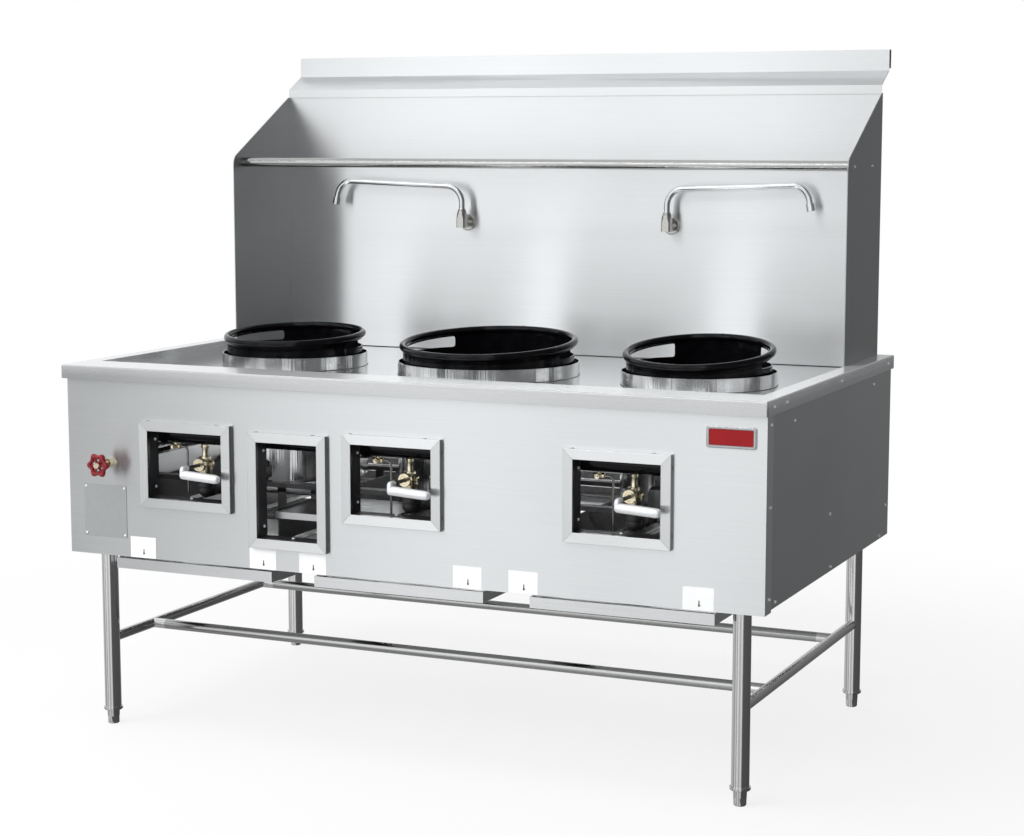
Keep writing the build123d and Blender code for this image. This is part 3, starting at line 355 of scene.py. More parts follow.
def mitred_frame(bm, x0, x1, z0, z1):
    """Four lengths of tube round an opening, with a hairline joint at each mitre."""
    middle = Vector(((x0 + x1) / 2, 0, (z0 + z1) / 2))
    halves = ((x1 - x0) / 2, (z1 - z0) / 2)
    for turn in range(4):
        across, up = halves if turn % 2 == 0 else reversed(halves)
        inner = across - mitre_gap
        outer = across + tube_width - mitre_gap
        over = up + tube_width
        corners = [(-inner, 0, up), (inner, 0, up), (outer, 0, over), (-outer, 0, over)]
        verts = [bm.verts.new(corner) for corner in corners]
        plate = bm.faces.new(verts)
        front = bmesh.ops.extrude_face_region(bm, geom=[plate], use_keep_orig=True)
        lifted = [item for item in front["geom"] if isinstance(item, bmesh.types.BMVert)]
        bmesh.ops.translate(bm, verts=lifted, vec=(0, -tube_proud, 0))
        whole = verts + lifted
        for side in {side for vert in whole for side in vert.link_faces}:
            side.material_index = turn % 2
        edges = list({edge for vert in whole for edge in vert.link_edges})
        long = [edge for edge in edges if abs((edge.verts[0].co - edge.verts[1].co).x) > tube_width * 1.5]
        made = bmesh.ops.bevel(bm, geom=long, offset=0.0007, segments=2, affect="EDGES", profile=0.5,
                               material=-1)
        member = {vert for edge in long if edge.is_valid for vert in edge.verts} | set(made["verts"])
        member |= {vert for vert in whole if vert.is_valid}
        quarter = Matrix.Rotation(turn * pi / 2, 3, "Y")
        bmesh.ops.rotate(bm, verts=list(member), cent=(0, 0, 0), matrix=quarter)
        bmesh.ops.translate(bm, verts=list(member), vec=middle + Vector((0, face, 0)))


level_tube = steel("level_tube", (0.74, 0.75, 0.755), (0.82, 0.825, 0.83), (0.2, 0.28), (12, 300, 300),
                   clouds=4, relief=0.02, brushed=0.8)
upright_tube = steel("upright_tube", (0.72, 0.73, 0.735), (0.8, 0.805, 0.81), (0.2, 0.28), (300, 300, 12),
                     clouds=4, relief=0.02, brushed=0.8, across=0.0)
# The frames' faces that turn left or right get this dark steel: painted shade along their sides.
shaded_frame_side = steel("shaded_frame_side", (0.16, 0.162, 0.165), (0.22, 0.222, 0.225), (0.25, 0.34), (300, 300, 12),
                  clouds=4, relief=0.02)
bm = bmesh.new()
for x, bottom, half_width, height in openings:
    mitred_frame(bm, x - half_width, x + half_width, bottom, bottom + height)
bm.normal_update()
for side in bm.faces:
    if abs(side.normal.x) > 0.95:
        side.material_index = 2
piece("mitred_window_frames", bm, [level_tube, upright_tube, shaded_frame_side], "cabinet", "window_frames",
      slot="stainless", crease=15)

# Two weld tacks stand on the upper edge and two on the right edge of each frame.
tack_metal = paint("tack_metal", (0.2, 0.19, 0.18), (0.42, 0.41, 0.4), (0.35, 0.6), 300, 0.6, metallic=1.0)
bm = bmesh.new()
for x, bottom, half_width, height in openings:
    top, right = bottom + height + tube_width, x + half_width + tube_width
    for tack in ((x - half_width - 0.004, top), (x + half_width * 0.82, top), (right, bottom + 0.008),
                 (right, top - 0.03)):
        bead = bmesh.ops.create_uvsphere(bm, u_segments=12, v_segments=8, radius=1.0)["verts"]
        flat = (0.005, 0.0018, 0.0009) if tack[1] == top else (0.0009, 0.0018, 0.005)
        bmesh.ops.scale(bm, verts=bead, vec=flat)
        bmesh.ops.translate(bm, verts=bead, vec=(tack[0], face - 0.0016, tack[1]))
piece("frame_tacks", bm, tack_metal, "cabinet", slot="stainless")

# ---------------------------------------------------------------- deck
# One folded top of brushed stainless sheet, with a basin round the chambers and a wide ledge in
# front. The ledge is made less metallic so the lamps light it white, a painted sheen, and the outer
# face of the rim is darkened with painted shade.
deck_steel = steel("deck_steel", (0.84, 0.845, 0.85), (0.94, 0.945, 0.95), (0.16, 0.22), (3, 420, 420),
                   relief=0.03)
rim_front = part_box("deck_top")[0].y
# A grey that multiplies the colour of the rim's outer face: painted shade.
rim_painted_shade = (0.63, 0.63, 0.63)
# Less metallic on the ledge, so the lamps light it white: a painted sheen.
ledge_sheen_metallic = 0.6
dn, dl = deck_steel.node_tree.nodes, deck_steel.node_tree.links
shader = dn["Principled BSDF"]
place = dn.new("ShaderNodeTexCoord")
parts = dn.new("ShaderNodeSeparateXYZ")
dl.new(place.outputs["Object"], parts.inputs[0])
rim_shade_mix = dn.new("ShaderNodeMix")
rim_shade_mix.data_type = "RGBA"
rim_shade_mix.blend_type = "MULTIPLY"
rim_shade_mix.inputs["Factor"].default_value = 1.0
dl.new(shader.inputs["Base Color"].links[0].from_socket, rim_shade_mix.inputs["A"])
dl.new(tint(dn, dl, parts.outputs["Y"], rim_painted_shade, (1.0, 1.0, 1.0), rim_front + 0.001, rim_front + 0.004),
       rim_shade_mix.inputs["B"])
dl.new(rim_shade_mix.outputs["Result"], shader.inputs["Base Color"])
dl.new(spread(dn, dl, parts.outputs["Z"], 1.0, ledge_sheen_metallic, 0.9, 0.92), shader.inputs["Metallic"])
coat(deck_steel, "deck_top")

# ---------------------------------------------------------------- chambers and burners
# Three rolled stainless shells with upright bands, partly grain and partly painted reflection streaks,
# each round a bowl of black enamel and an iron burner with brass jets. A bead of weld joins each shell to
# the deck all round.
names = ("left", "middle", "right")
# Light and dark upright bands, up to pure white: partly the rolled grain, partly painted reflection
# streaks.
shell_grain_and_reflection = steel("shell_grain_and_reflection", (0.74, 0.75, 0.755), (1.0, 1.0, 1.0), (0.1, 0.16), (40, 40, 0.5),
                    clouds=1, relief=1.0, depth=0.002)
enamel = paint("enamel", (0.002, 0.002, 0.003), (0.005, 0.005, 0.006), (0.04, 0.1), 40, 0.01, shine=0.2)
iron = paint("iron", (0.014, 0.014, 0.015), (0.035, 0.034, 0.033), (0.4, 0.65), 260, 0.7)
brass = paint("brass", (0.78, 0.68, 0.46), (0.93, 0.86, 0.66), (0.17, 0.28), 90, 0.06, metallic=1.0)
coat(enamel, "chamber_liners")
coat(iron, "burners")
coat(brass, "burner_jets")


def hoop(bm, ring, radius, steps, sides=20):
    """A closed round bar of the given radius along a level circle at the origin."""
    before = set(bm.verts)
    section = bmesh.ops.create_circle(bm, segments=sides, radius=radius)["verts"]
    bmesh.ops.rotate(bm, verts=section, cent=(0, 0, 0), matrix=Matrix.Rotation(pi / 2, 3, "X"))
    bmesh.ops.translate(bm, verts=section, vec=(ring, 0, 0))
    around = list({edge for vert in section for edge in vert.link_edges})
    bmesh.ops.spin(bm, geom=section + around, cent=(0, 0, 0), axis=(0, 0, 1), angle=2 * pi, steps=steps,
                   use_merge=True)
    return [vert for vert in bm.verts if vert not in before]


bm = bmesh.new()
for name in names:
    coat(shell_grain_and_reflection, "chamber_shell_" + name)
    low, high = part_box("chamber_shell_" + name)
    bead = hoop(bm, (high.x - low.x) / 2 + 0.0005, 0.0012, 96, 8)
    bmesh.ops.translate(bm, verts=bead, vec=((low.x + high.x) / 2, (low.y + high.y) / 2, 0.8862))
piece("deck_welds", bm, tack_metal, "cabinet", slot="stainless")

# ---------------------------------------------------------------- wok rings
# A ring of round bar welded on a rolled band, in black enamel. The bar rises to the rear, and the
# band has a hand hole at each side to lift the ring by; it stands loose on its seat.
ring_tilts = (radians(3.2), radians(4.4), radians(6.9))
bar_radius = 0.009
band_wall = 0.003
ring_height = 0.965              # centre of the bar over the middle of the chamber
hole_low = 0.936                 # lower edge of the hand holes
hole_strip = 0.003               # strip of band between a hand hole and the bar
hole_radius = 0.0105             # corners of the hand holes


def bar_of(bm, low, high, soft=0.0, steps=2):
    """A block between two corners, in metres, with its edges rounded by soft."""
    made = bmesh.ops.create_cube(bm, size=1.0)["verts"]
    low, high = Vector(low), Vector(high)
    bmesh.ops.scale(bm, verts=made, vec=high - low)
    bmesh.ops.translate(bm, verts=made, vec=(low + high) / 2)
    if soft:
        edges = list({edge for vert in made for edge in vert.link_edges})
        bmesh.ops.bevel(bm, geom=edges, offset=soft, segments=steps, affect="EDGES", profile=0.5,
                        material=-1)


def ring_band(bm, radius, tilt, seat):
    """The rolled band: its upper edge follows the bar, and its hand holes have round corners.
    Four points spun round make three rows of faces, which then move to their columns and heights."""
    first, last = -0.045 / radius, 0.157 / radius
    rise = radius * tan(tilt)

    def top(angle):
        return ring_height + rise * sin(angle)

    corner = min(hole_radius, 0.49 * (top(first) - bar_radius - hole_strip - hole_low))
    inset = [corner * (1 - cos(k * pi / 10)) for k in range(6)]
    inside = [first + (last - first) * k / 16 for k in range(1, 16)]
    hole = [(first + step / radius, step) for step in inset] + [(angle, corner) for angle in inside]
    hole += [(last - step / radius, step) for step in reversed(inset)]
    half_turn = [(-pi / 2 + (first + pi / 2) * k / 12, None) for k in range(12)] + hole
    half_turn += [(last + (pi / 2 - last) * k / 9, None) for k in range(1, 10)]
    columns = half_turn + [(pi - angle, step) for angle, step in reversed(half_turn[1:-1])]

    def column(vert):
        return round(atan2(vert.co.y, vert.co.x) * len(columns) / (2 * pi)) % len(columns)

    line = [bm.verts.new((1, 0, row)) for row in range(4)]
    edges = [bm.edges.new(pair) for pair in zip(line, line[1:])]
    bmesh.ops.spin(bm, geom=line + edges, cent=(0, 0, 0), axis=(0, 0, 1), angle=2 * pi, steps=len(columns),
                   use_merge=True)
    empty = []
    for quad in bm.faces:
        rows = {round(vert.co.z) for vert in quad.verts}
        if rows == {1, 2} and all(columns[column(vert)][1] is not None for vert in quad.verts):
            empty.append(quad)
    for vert in list(bm.verts):
        angle, step = columns[column(vert)]
        round_off = corner if step is None else corner - sqrt(max(corner ** 2 - (corner - step) ** 2, 0))
        under, over = hole_low + round_off, top(angle) - bar_radius - hole_strip - round_off
        height = (seat, under, over, top(angle))[round(vert.co.z)]
        vert.co = (radius * cos(angle), radius * sin(angle), height)
    bmesh.ops.delete(bm, geom=empty, context="FACES")
    grown = bmesh.ops.extrude_face_region(bm, geom=list(bm.faces), use_keep_orig=True)["geom"]
    inner = [item for item in grown if isinstance(item, bmesh.types.BMVert)]
    bmesh.ops.scale(bm, verts=inner, vec=(1 - band_wall / radius, 1 - band_wall / radius, 1))


for name, tilt in zip(names, ring_tilts):
    low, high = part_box("wok_ring_" + name)
    shell_low, shell_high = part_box("chamber_shell_" + name)
    middle = Vector(((low.x + high.x) / 2, (shell_low.y + shell_high.y) / 2, 0))
    radius = (high.x - low.x) / 2 - bar_radius
    rise = radius * tan(tilt)
    bm = bmesh.new()
    ring_band(bm, radius, tilt, low.z)
    bar = hoop(bm, radius, bar_radius, 144)
    weld = hoop(bm, bar_radius * 0.93, 0.0014, 24, 8)
    bmesh.ops.rotate(bm, verts=weld, cent=(0, 0, 0), matrix=Matrix.Rotation(pi / 2, 3, "Y"))
    bmesh.ops.translate(bm, verts=weld, vec=(0, radius, 0))
    bmesh.ops.rotate(bm, verts=bar + weld, cent=(0, 0, 0), matrix=Matrix.Rotation(tilt, 3, "X"))
    bmesh.ops.translate(bm, verts=bar + weld, vec=(0, 0, ring_height))
    for turn in (-110, -52, 70, 112):
        bead = bmesh.ops.create_uvsphere(bm, u_segments=10, v_segments=6, radius=1.0)["verts"]
        bmesh.ops.scale(bm, verts=bead, vec=(0.0016, 0.007, 0.0016))
        level = ring_height - bar_radius + rise * sin(radians(turn))
        bmesh.ops.translate(bm, verts=bead, vec=(radius + 0.0014, 0, level))
        bmesh.ops.rotate(bm, verts=bead, cent=(0, 0, 0), matrix=Matrix.Rotation(radians(turn), 3, "Z"))
    bar_of(bm, (-0.0009, radius - 0.0045, low.z + 0.001),
           (0.0009, radius - 0.0025, ring_height + rise - 0.008))
    bmesh.ops.translate(bm, verts=bm.verts, vec=middle)
    piece("round_bar_ring_" + name, bm, enamel, "ring_" + name, "wok_ring_" + name, slot="black_enamel",
          crease=30)

# ---------------------------------------------------------------- splash back and shelf
# A back sheet of satin stainless with a folded shelf on top, a wing at each end in steel darkened
# with painted shade, and a pipe rail. A thin dark bead runs along its foot, in the corner with the deck.
# A darker copy of the sheet steel: painted shade on the wings.
shaded_wing_steel = steel("shaded_wing_steel", (0.34, 0.345, 0.35), (0.43, 0.435, 0.44), (0.27, 0.34), (520, 3, 520),
                   relief=0.03, brushed=0.75)
coat(sheet_steel, "splash_back", "top_shelf")
coat(shaded_wing_steel, "splash_wing_left", "splash_wing_right")
coat(shaded_tube_steel, "rail_pipe")
# A thin dark bead in the corner between the foot of the splash back and the deck.
bm = bmesh.new()
back_low, back_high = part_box("splash_back")
foot = Vector((back_high.x - 0.002, back_low.y, back_low.z))
bar_of(bm, (-foot.x, foot.y - 0.0018, foot.z - 0.0002), (foot.x, foot.y + 0.0002, foot.z + 0.0018),
       0.0008, 3)
piece("splash_foot_bead", bm, black_steel, "cabinet", slot="black_steel", crease=60)

# ---------------------------------------------------------------- gas line
# A black enamelled manifold carries three brass cocks, each with a union nut and a cast aluminium
# lever on its black stem. An iron elbow and pipe under each cock lead the gas back to its burner.
# Pale and only half metallic, so the lamps light it white: partly the metal's own colour, partly a painted
# sheen.
lever_metal_and_sheen = paint("lever_metal_and_sheen", (0.88, 0.89, 0.9), (0.93, 0.94, 0.95), (0.28, 0.34), 12, 0.01,
                    metallic=0.5)
pipe_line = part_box("gas_cocks")[1].y - 0.018     # the cocks' middle, front to back
cock_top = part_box("gas_cocks")[1].z
elbow_height = 0.622
feed_top = 0.6449                # end of the feed pipe, under its burner
grip_front = face - 0.04
grip_drop = 0.0134               # middle of the grip below the stem
grip_droop = radians(3.6)
coat(enamel, "gas_manifold")
coat(black_steel, "manifold_brackets")


def along(direction):
    """The rotation that lays the Z axis along a direction."""
    return Vector(direction).to_track_quat("Z", "Y").to_matrix()


def turned(bm, centre, direction, profile, steps=32):
    """Turns (distance along the axis, radius) points about an axis through the centre."""
    before = set(bm.verts)
    line = [bm.verts.new((radius, 0, height)) for height, radius in profile]
    edges = [bm.edges.new(pair) for pair in zip(line, line[1:])]
    bmesh.ops.spin(bm, geom=line + edges, cent=(0, 0, 0), axis=(0, 0, 1), angle=2 * pi, steps=steps,
                   use_merge=True)
    made = [vert for vert in bm.verts if vert not in before]
    bmesh.ops.remove_doubles(bm, verts=made, dist=1e-7)
    made = [vert for vert in bm.verts if vert not in before]
    bmesh.ops.rotate(bm, verts=made, cent=(0, 0, 0), matrix=along(direction))
    bmesh.ops.translate(bm, verts=made, vec=centre)
    return made


def nut(bm, centre, direction, across, length, soft=0.0006):
    """A hexagon bar with softened edges, from the centre along the direction."""
    before = set(bm.verts)
    corner = across / 1.732          # from the width across flats to the radius of the corners
    made = bmesh.ops.create_cone(bm, cap_ends=True, segments=6, radius1=corner, radius2=corner,
                                 depth=length)
    edges = list({edge for vert in made["verts"] for edge in vert.link_edges})
    bmesh.ops.bevel(bm, geom=edges, offset=soft, segments=2, affect="EDGES", profile=0.5, material=-1)
    made = [vert for vert in bm.verts if vert not in before]
    bmesh.ops.translate(bm, verts=made, vec=(0, 0, length / 2))
    bmesh.ops.rotate(bm, verts=made, cent=(0, 0, 0), matrix=along(direction))
    bmesh.ops.translate(bm, verts=made, vec=centre)


def pipe(bm, points, radius, bend, sides=24):
    """A round bar along straight runs, with a turn of the given radius at each corner."""
    points = [Vector(point) for point in points]
    heading = (points[1] - points[0]).normalized()
    ring = bmesh.ops.create_circle(bm, cap_ends=True, segments=sides, radius=radius)["verts"]
    bmesh.ops.rotate(bm, verts=ring, cent=(0, 0, 0), matrix=along(heading))
    bmesh.ops.translate(bm, verts=ring, vec=points[0])
    edges = list({edge for vert in ring for edge in vert.link_edges})
    here = points[0]
    for index in range(1, len(points)):
        corner = points[index]
        last = index == len(points) - 1
        onward = None if last else (points[index + 1] - corner).normalized()
        angle = 0 if last else heading.angle(onward)
        stop = corner if last else corner - heading * bend * tan(angle / 2)
        grown = bmesh.ops.extrude_edge_only(bm, edges=edges)["geom"]
        ring = [item for item in grown if isinstance(item, bmesh.types.BMVert)]
        edges = [item for item in grown if isinstance(item, bmesh.types.BMEdge)]
        edges = [edge for edge in edges if all(vert in ring for vert in edge.verts)]
        bmesh.ops.translate(bm, verts=ring, vec=stop - here)
        here = stop
        if not last:
            axis = heading.cross(onward).normalized()
            centre = stop + axis.cross(heading) * bend
            swung = bmesh.ops.spin(bm, geom=ring + edges, cent=centre, axis=axis, angle=angle, steps=10)
            ring = [item for item in swung["geom_last"] if isinstance(item, bmesh.types.BMVert)]
            edges = [item for item in swung["geom_last"] if isinstance(item, bmesh.types.BMEdge)]
            heading = onward
            here = corner + heading * bend * tan(angle / 2)
    bmesh.ops.edgeloop_fill(bm, edges=edges)


def gas_cock(bm, x, stem_height):
    """A cock: two nuts above, a turned body, a round face for the stem and a hexagon plug beside it."""
    at = Vector((x, pipe_line, 0))
    up = (0, 0, 1)
    nut(bm, at + Vector((0, 0, cock_top - 0.0092)), up, 0.017, 0.009)
    turned(bm, at, up, [(cock_top - 0.031, 0), (cock_top - 0.031, 0.0088), (cock_top - 0.0285, 0.0075),
                        (cock_top - 0.011, 0.0072), (cock_top - 0.009, 0.0078), (cock_top - 0.009, 0)])
    nut(bm, at + Vector((0, 0, cock_top - 0.042)), up, 0.026, 0.012, 0.0009)
    turned(bm, at, up, [(0.642, 0), (0.642, 0.008), (cock_top - 0.082, 0.0082), (cock_top - 0.08, 0.0115),
                        (cock_top - 0.074, 0.0162), (cock_top - 0.069, 0.018), (cock_top - 0.056, 0.018),
                        (cock_top - 0.05, 0.0162), (cock_top - 0.043, 0.0125), (cock_top - 0.0415, 0.0)])
    level = Vector((x, pipe_line, stem_height))
    round_face = [(0, 0), (0, 0.0122), (0.0205, 0.0122), (0.0212, 0.0152), (0.0222, 0.0165),
                  (0.0298, 0.0165), (0.0309, 0.0155), (0.0309, 0.0108), (0.0299, 0.0102), (0.0299, 0.0068),
                  (0.0312, 0.0064), (0.0312, 0.0046), (0.03, 0.0)]
    turned(bm, level, (0, -1, 0), round_face, 40)
    nut(bm, level + Vector((0.0145, 0, 0)), (1, 0, 0), 0.014, 0.008)


def feed_pipe(bm, x):
    """An elbow with banded ends, then a pipe with a union that turns up at its burner."""
    burner_low, burner_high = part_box("burners")
    end = (burner_low.y + burner_high.y) / 2
    low = Vector((x, pipe_line, elbow_height))
    up, back = (0, 0, 1), (0, 1, 0)
    upper_end = [(0.628, 0), (0.628, 0.0166), (0.6305, 0.0195), (0.6395, 0.0195), (0.6418, 0.0178),
                 (0.6418, 0)]
    turned(bm, Vector((x, pipe_line, 0)), up, upper_end, 36)
    pipe(bm, [low + Vector((0, 0, 0.014)), low, low + Vector((0, 0.03, 0))], 0.0166, 0.0136, 28)
    heel = bmesh.ops.create_uvsphere(bm, u_segments=28, v_segments=18, radius=0.0182)["verts"]
    bmesh.ops.translate(bm, verts=heel, vec=low)
    rear_end = [(0.016, 0), (0.016, 0.0166), (0.0185, 0.0195), (0.0285, 0.0195), (0.031, 0.0178),
                (0.031, 0)]
    turned(bm, low, back, rear_end, 36)
    run = [low + Vector((0, 0.025, 0)), Vector((x, end, elbow_height)), Vector((x, end, feed_top))]
    pipe(bm, run, 0.01335, 0.0165)
    union = [(0.062, 0.0132), (0.063, 0.018), (0.0665, 0.0205), (0.073, 0.0205), (0.076, 0.0192),
             (0.092, 0.0192), (0.095, 0.0205), (0.101, 0.0205), (0.1035, 0.018), (0.1045, 0.0132),
             (0.062, 0.0132)]
    turned(bm, low, back, union, 40)
    burner_end = [(0.629, 0), (0.629, 0.0155), (0.631, 0.017), (0.6435, 0.017), (feed_top, 0.0158),
                  (feed_top, 0)]
    turned(bm, Vector((x, end, 0)), up, burner_end)


cocks, feeds = bmesh.new(), bmesh.new()
valve_axes = []
for name in names:
    low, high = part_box("valve_stem_" + name)
    x, stem_height = (low.x + high.x) / 2, (low.z + high.z) / 2
    valve_axes.append(x)
    coat(black_steel, "valve_stem_" + name)
    gas_cock(cocks, x, stem_height)
    feed_pipe(feeds, x)
    bm = bmesh.new()
    grip = turned(bm, Vector((x - 0.005, grip_front, stem_height - grip_drop)), (1, 0, 0),
                  [(0, 0), (0, 0.0055), (0.0012, 0.0085), (0.0038, 0.0104), (0.007, 0.011), (0.092, 0.011),
                   (0.098, 0.0106), (0.1025, 0.0096), (0.1055, 0.0078), (0.107, 0.005), (0.107, 0)], 36)
    droop = Matrix.Rotation(grip_droop, 3, "Y")
    bmesh.ops.rotate(bm, verts=grip, cent=(x, grip_front, stem_height), matrix=droop)
    turned(bm, Vector((x, grip_front, stem_height)), (0, 1, 0),
           [(-0.0055, 0), (-0.0052, 0.003), (-0.0035, 0.0056), (-0.001, 0.0069), (0.003, 0.0072),
            (0.017, 0.0072), (0.019, 0.0064), (0.019, 0)], 28)
    knuckle = bmesh.ops.create_uvsphere(bm, u_segments=24, v_segments=16, radius=1.0)["verts"]
    bmesh.ops.scale(bm, verts=knuckle, vec=(0.0078, 0.0085, 0.0125))
    bmesh.ops.translate(bm, verts=knuckle, vec=(x, grip_front, stem_height - 0.0052))
    piece("cast_lever_" + name, bm, lever_metal_and_sheen, "valve_" + name, "valve_lever_" + name, slot="aluminium",
          crease=40)
piece("brass_gas_cocks", cocks, brass, "cabinet", "gas_cocks", slot="brass", crease=28)
piece("iron_feed_pipes", feeds, iron, "cabinet", "burner_feed_pipes", slot="iron", crease=32)

# ---------------------------------------------------------------- pilot valves and tubes
# Small brass needle valves under the manifold, each with a hexagon body, a nut for its tube and a
# round cap in front. The thin steel tubes go down behind the windows and back to the burners.
# A darkened copy of the tube steel: painted shade for the dim inside of the cabinet.
shaded_pilot_steel = steel("shaded_pilot_steel", (0.26, 0.26, 0.25), (0.38, 0.38, 0.37), (0.15, 0.25), (300, 300, 40),
                    relief=0.06)
pilot_side = 0.084               # left of the lever's stem
pilot_height = 0.7254
tube_low = 0.589
bm = bmesh.new()
for x in valve_axes:
    at = Vector((x - pilot_side, pipe_line, pilot_height))
    nut(bm, at - Vector((0.0135, 0, 0)), (1, 0, 0), 0.011, 0.007)
    turned(bm, at, (1, 0, 0), [(-0.007, 0), (-0.007, 0.0052), (0.006, 0.0052), (0.006, 0)], 20)
    nut(bm, at + Vector((0.0052, 0, 0)), (1, 0, 0), 0.012, 0.0083)
    nut(bm, at + Vector((0, 0, 0.0035)), (0, 0, 1), 0.011, 0.005)
    turned(bm, at, (0, 0, 1), [(0.002, 0), (0.002, 0.0045), (0.0095, 0.0045), (0.0095, 0)], 20)
    cap = [(0.0, 0), (0.0, 0.0052), (0.008, 0.0052), (0.0085, 0.0064), (0.0145, 0.0064), (0.0155, 0.0055),
           (0.0155, 0.002), (0.0145, 0)]
    turned(bm, at, (0, -1, 0), cap, 20)
piece("brass_pilot_valves", bm, brass, "cabinet", "pilot_valves", slot="brass", crease=28)
bm = bmesh.new()
for x in valve_axes:
    down, far = x - 0.05, face + 0.445
    run = [(x - 0.0705, pipe_line, pilot_height), (down, pipe_line, pilot_height),
           (down, pipe_line, tube_low), (down, far, tube_low), (down, far, 0.675)]
    pipe(bm, run, 0.003, 0.01, 16)
piece("bent_pilot_tubes", bm, shaded_pilot_steel, "cabinet", "pilot_tubes", slot="tube")

# ---------------------------------------------------------------- taps and water valve
# Two nickel-plated tap bodies on the splash back, each with a bent chrome spout that swings and
# an aerator. Steel pipes carry the water, and a brass valve with a spindle shuts it off.
chrome = steel("chrome", (0.72, 0.73, 0.74), (0.82, 0.83, 0.84), (0.08, 0.16), (60, 60, 60), clouds=30)
nickel = steel("nickel", (0.46, 0.45, 0.43), (0.56, 0.55, 0.53), (0.2, 0.3), (60, 60, 60), clouds=30,
               relief=0.03)
coat(nickel, "faucet_bodies")
coat(chrome, "swing_spout_left", "swing_spout_right", "aerator_left", "aerator_right")
coat(shaded_tube_steel, "water_pipes")
coat(brass, "water_valve", "wheel_spindle")

# ---------------------------------------------------------------- hand wheel
# A cast wheel on the brass spindle of the water valve, painted dark red. Its rim swells into six
# finger lobes, and a flat spoke runs to each from a bored hub.
red_paint = paint("red_paint", (0.16, 0.007, 0.012), (0.27, 0.012, 0.018), (0.22, 0.38), 120, 0.3)
lobes = 6
low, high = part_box("hand_wheel")
wheel = Vector(((low.x + high.x) / 2, low.y + 0.0055, (low.z + high.z) / 2))
bm = bmesh.new()
for vert in hoop(bm, 0.0222, 0.006, 96, 16):
    wave = cos(lobes * atan2(vert.co.y, vert.co.x))
    vert.co.x *= 1 + 0.12 * wave
    vert.co.y *= 1 + 0.12 * wave
    vert.co.z *= 1 + 0.08 * wave
for k in range(lobes):
    before = set(bm.verts)
    bar_of(bm, (0.004, -0.003, -0.0028), (0.02, 0.003, 0.0028), 0.0012)
    spoke = [vert for vert in bm.verts if vert not in before]
    share = Matrix.Rotation(k * 2 * pi / lobes, 3, "Z")
    bmesh.ops.rotate(bm, verts=spoke, cent=(0, 0, 0), matrix=share)
turned(bm, (0, 0, 0), (0, 0, 1), [(-0.0134, 0.0052), (-0.0134, 0.0072), (-0.0125, 0.008), (0.0035, 0.008),
                                  (0.0052, 0.0068), (0.0052, 0.0052), (-0.0134, 0.0052)])
bmesh.ops.rotate(bm, verts=bm.verts, cent=(0, 0, 0), matrix=Matrix.Rotation(pi / 2, 3, "X"))
bmesh.ops.translate(bm, verts=bm.verts, vec=wheel)
piece("lobed_hand_wheel", bm, red_paint, "wheel", "hand_wheel", slot="red", crease=40)

# ---------------------------------------------------------------- plates and labels
# A blank rating plate of thin aluminium on four rivets, a plain red badge in a silver bezel, and
# six paper labels, two over each tray, with nothing on them but an arrow to the tray.
plate_metal = paint("plate_metal", (0.56, 0.57, 0.575), (0.6, 0.61, 0.615), (0.5, 0.56), 60, 0.02,
                    metallic=1.0)
panel_edge = -0.9085             # left edge of the front panel
plate_width, plate_height, plate_wall = 0.124, 0.131, 0.0011
plate_low = Vector((panel_edge + 0.044, face - plate_wall, 0.496))
bm = bmesh.new()
bar_of(bm, plate_low, plate_low + Vector((plate_width, plate_wall, plate_height)), 0.0004)
piece("rating_plate", bm, plate_metal, "cabinet", "data_plate", slot="plate", crease=20)
bm = bmesh.new()
for across in (0.0055, plate_width - 0.0055):
    for up in (0.0065, plate_height - 0.0065):
        rivet = bmesh.ops.create_uvsphere(bm, u_segments=16, v_segments=8, radius=1.0)["verts"]
        bmesh.ops.scale(bm, verts=rivet, vec=(0.0036, 0.0019, 0.0036))
        bmesh.ops.translate(bm, verts=rivet, vec=plate_low + Vector((across, -0.0002, up)))
piece("plate_rivets", bm, lever_metal_and_sheen, "cabinet", slot="aluminium")

bezel_silver = paint("bezel_silver", (0.46, 0.465, 0.47), (0.56, 0.565, 0.57), (0.24, 0.34), 60, 0.02,
                     metallic=1.0)
badge_red = paint("badge_red", (0.3, 0.006, 0.009), (0.33, 0.008, 0.011), (0.38, 0.46), 25, 0.02,
                  shine=0.25)
badge_width, badge_height, badge_depth = 0.114, 0.048, 0.0042
badge_border = 0.0066            # from the edge of the bezel to the red face
badge_low = Vector((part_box("badge_plate")[0].x, face - badge_depth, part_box("badge_plate")[0].z))


def rounded_plate(bm, low, width, height, depth, radius):
    """An upright plate with rounded corners; its back is on the panel."""
    before = set(bm.verts)
    made = bmesh.ops.create_cube(bm, size=1.0)["verts"]
    bmesh.ops.scale(bm, verts=made, vec=(width, depth, height))
    upright = [edge for edge in {edge for vert in made for edge in vert.link_edges}
               if abs((edge.verts[0].co - edge.verts[1].co).y) > depth / 2]
    bmesh.ops.bevel(bm, geom=upright, offset=radius, segments=6, affect="EDGES", profile=0.5, material=-1)
    part = [vert for vert in bm.verts if vert not in before]
    bmesh.ops.translate(bm, verts=part, vec=Vector(low) + Vector((width / 2, depth / 2, height / 2)))


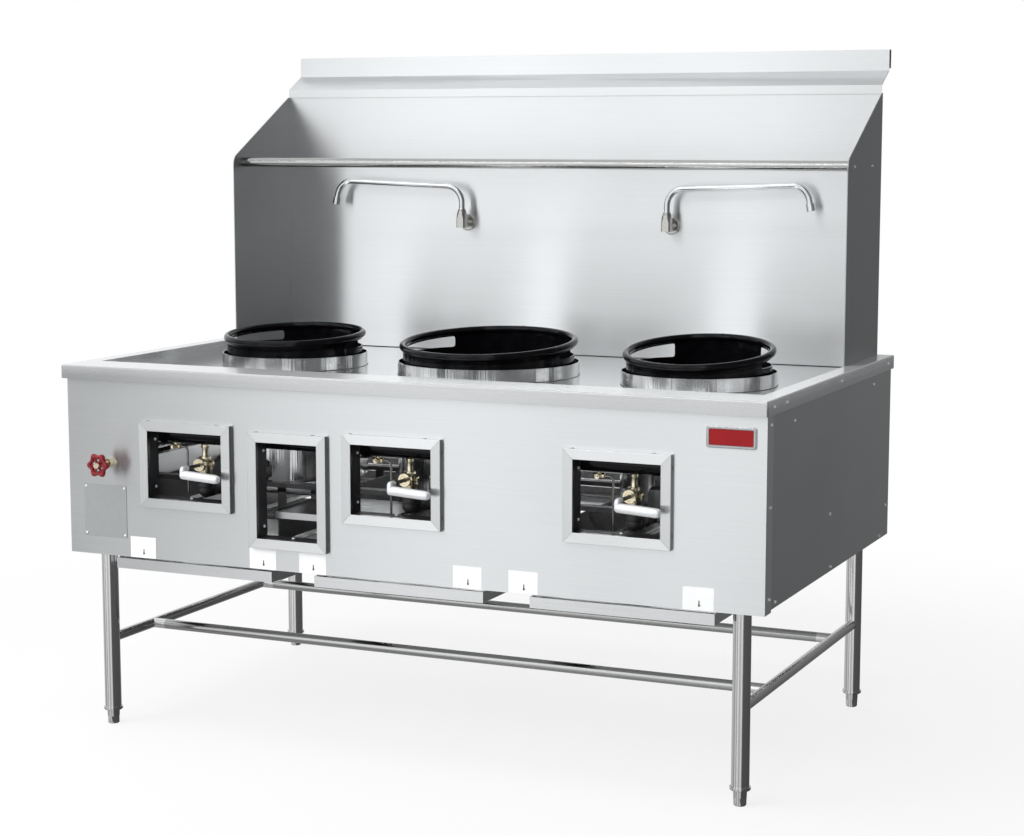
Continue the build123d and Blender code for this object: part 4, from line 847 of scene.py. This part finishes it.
bm = bmesh.new()
rounded_plate(bm, badge_low, badge_width, badge_height, badge_depth, 0.006)
front_face = min(bm.faces, key=lambda one: one.calc_center_median().y)
for thickness, depth in ((0.0018, 0.0008), (0.0038, 0.0), (0.0008, -0.0016)):
    bmesh.ops.inset_individual(bm, faces=[front_face], thickness=thickness, depth=depth)
piece("badge_bezel", bm, bezel_silver, "cabinet", "badge_plate", slot="polished", crease=20)
bm = bmesh.new()
rounded_plate(bm, badge_low + Vector((badge_border, 0.0004, badge_border)), badge_width - 2 * badge_border,
              badge_height - 2 * badge_border, 0.002, 0.0025)
piece("badge_face", bm, badge_red, "cabinet", slot="red")

label_paper = paint("label_paper", (0.9, 0.9, 0.9), (0.94, 0.94, 0.94), (0.5, 0.6), 40, 0.03)
arrow_ink = paint("arrow_ink", (0.02, 0.02, 0.02), (0.035, 0.035, 0.035), (0.45, 0.6), 200, 0.05)
label_edges = (-0.731, -0.389, -0.252, 0.156, 0.297, 0.719)
label_width, label_low, label_high = 0.073, 0.4505, 0.5025
arrow_inset = 0.0385             # from the label's left edge
point_down = Matrix.Rotation(pi / 2, 3, "X") @ Matrix.Rotation(-pi / 2, 3, "Z")
paper, ink = bmesh.new(), bmesh.new()
for left in label_edges:
    bar_of(paper, (left, face - 0.0004, label_low), (left + label_width, face - 0.0001, label_high))
    middle = left + arrow_inset
    bar_of(ink, (middle - 0.0013, face - 0.0006, 0.463), (middle + 0.0013, face - 0.0002, 0.4725))
    tip = bmesh.ops.create_cone(ink, cap_ends=True, segments=3, radius1=0.0042, radius2=0.0042,
                                depth=0.0004)
    bmesh.ops.rotate(ink, verts=tip["verts"], cent=(0, 0, 0), matrix=point_down)
    bmesh.ops.translate(ink, verts=tip["verts"], vec=(middle, face - 0.0004, 0.4615))
piece("paper_labels", paper, label_paper, "cabinet", slot="plate")
piece("label_arrows", ink, arrow_ink, "cabinet", slot="black_steel")

# ---------------------------------------------------------------- drip trays
# Three folded stainless trays, each on a pair of runners below the cabinet. They pull out to the
# front for cleaning, so each has a body of its own.
tray_steel = steel("tray_steel", (0.66, 0.665, 0.67), (0.78, 0.785, 0.79), (0.14, 0.24), (3, 420, 420))
for name in names:
    coat(tray_steel, "drip_tray_" + name)
coat(tray_steel, "tray_runners")
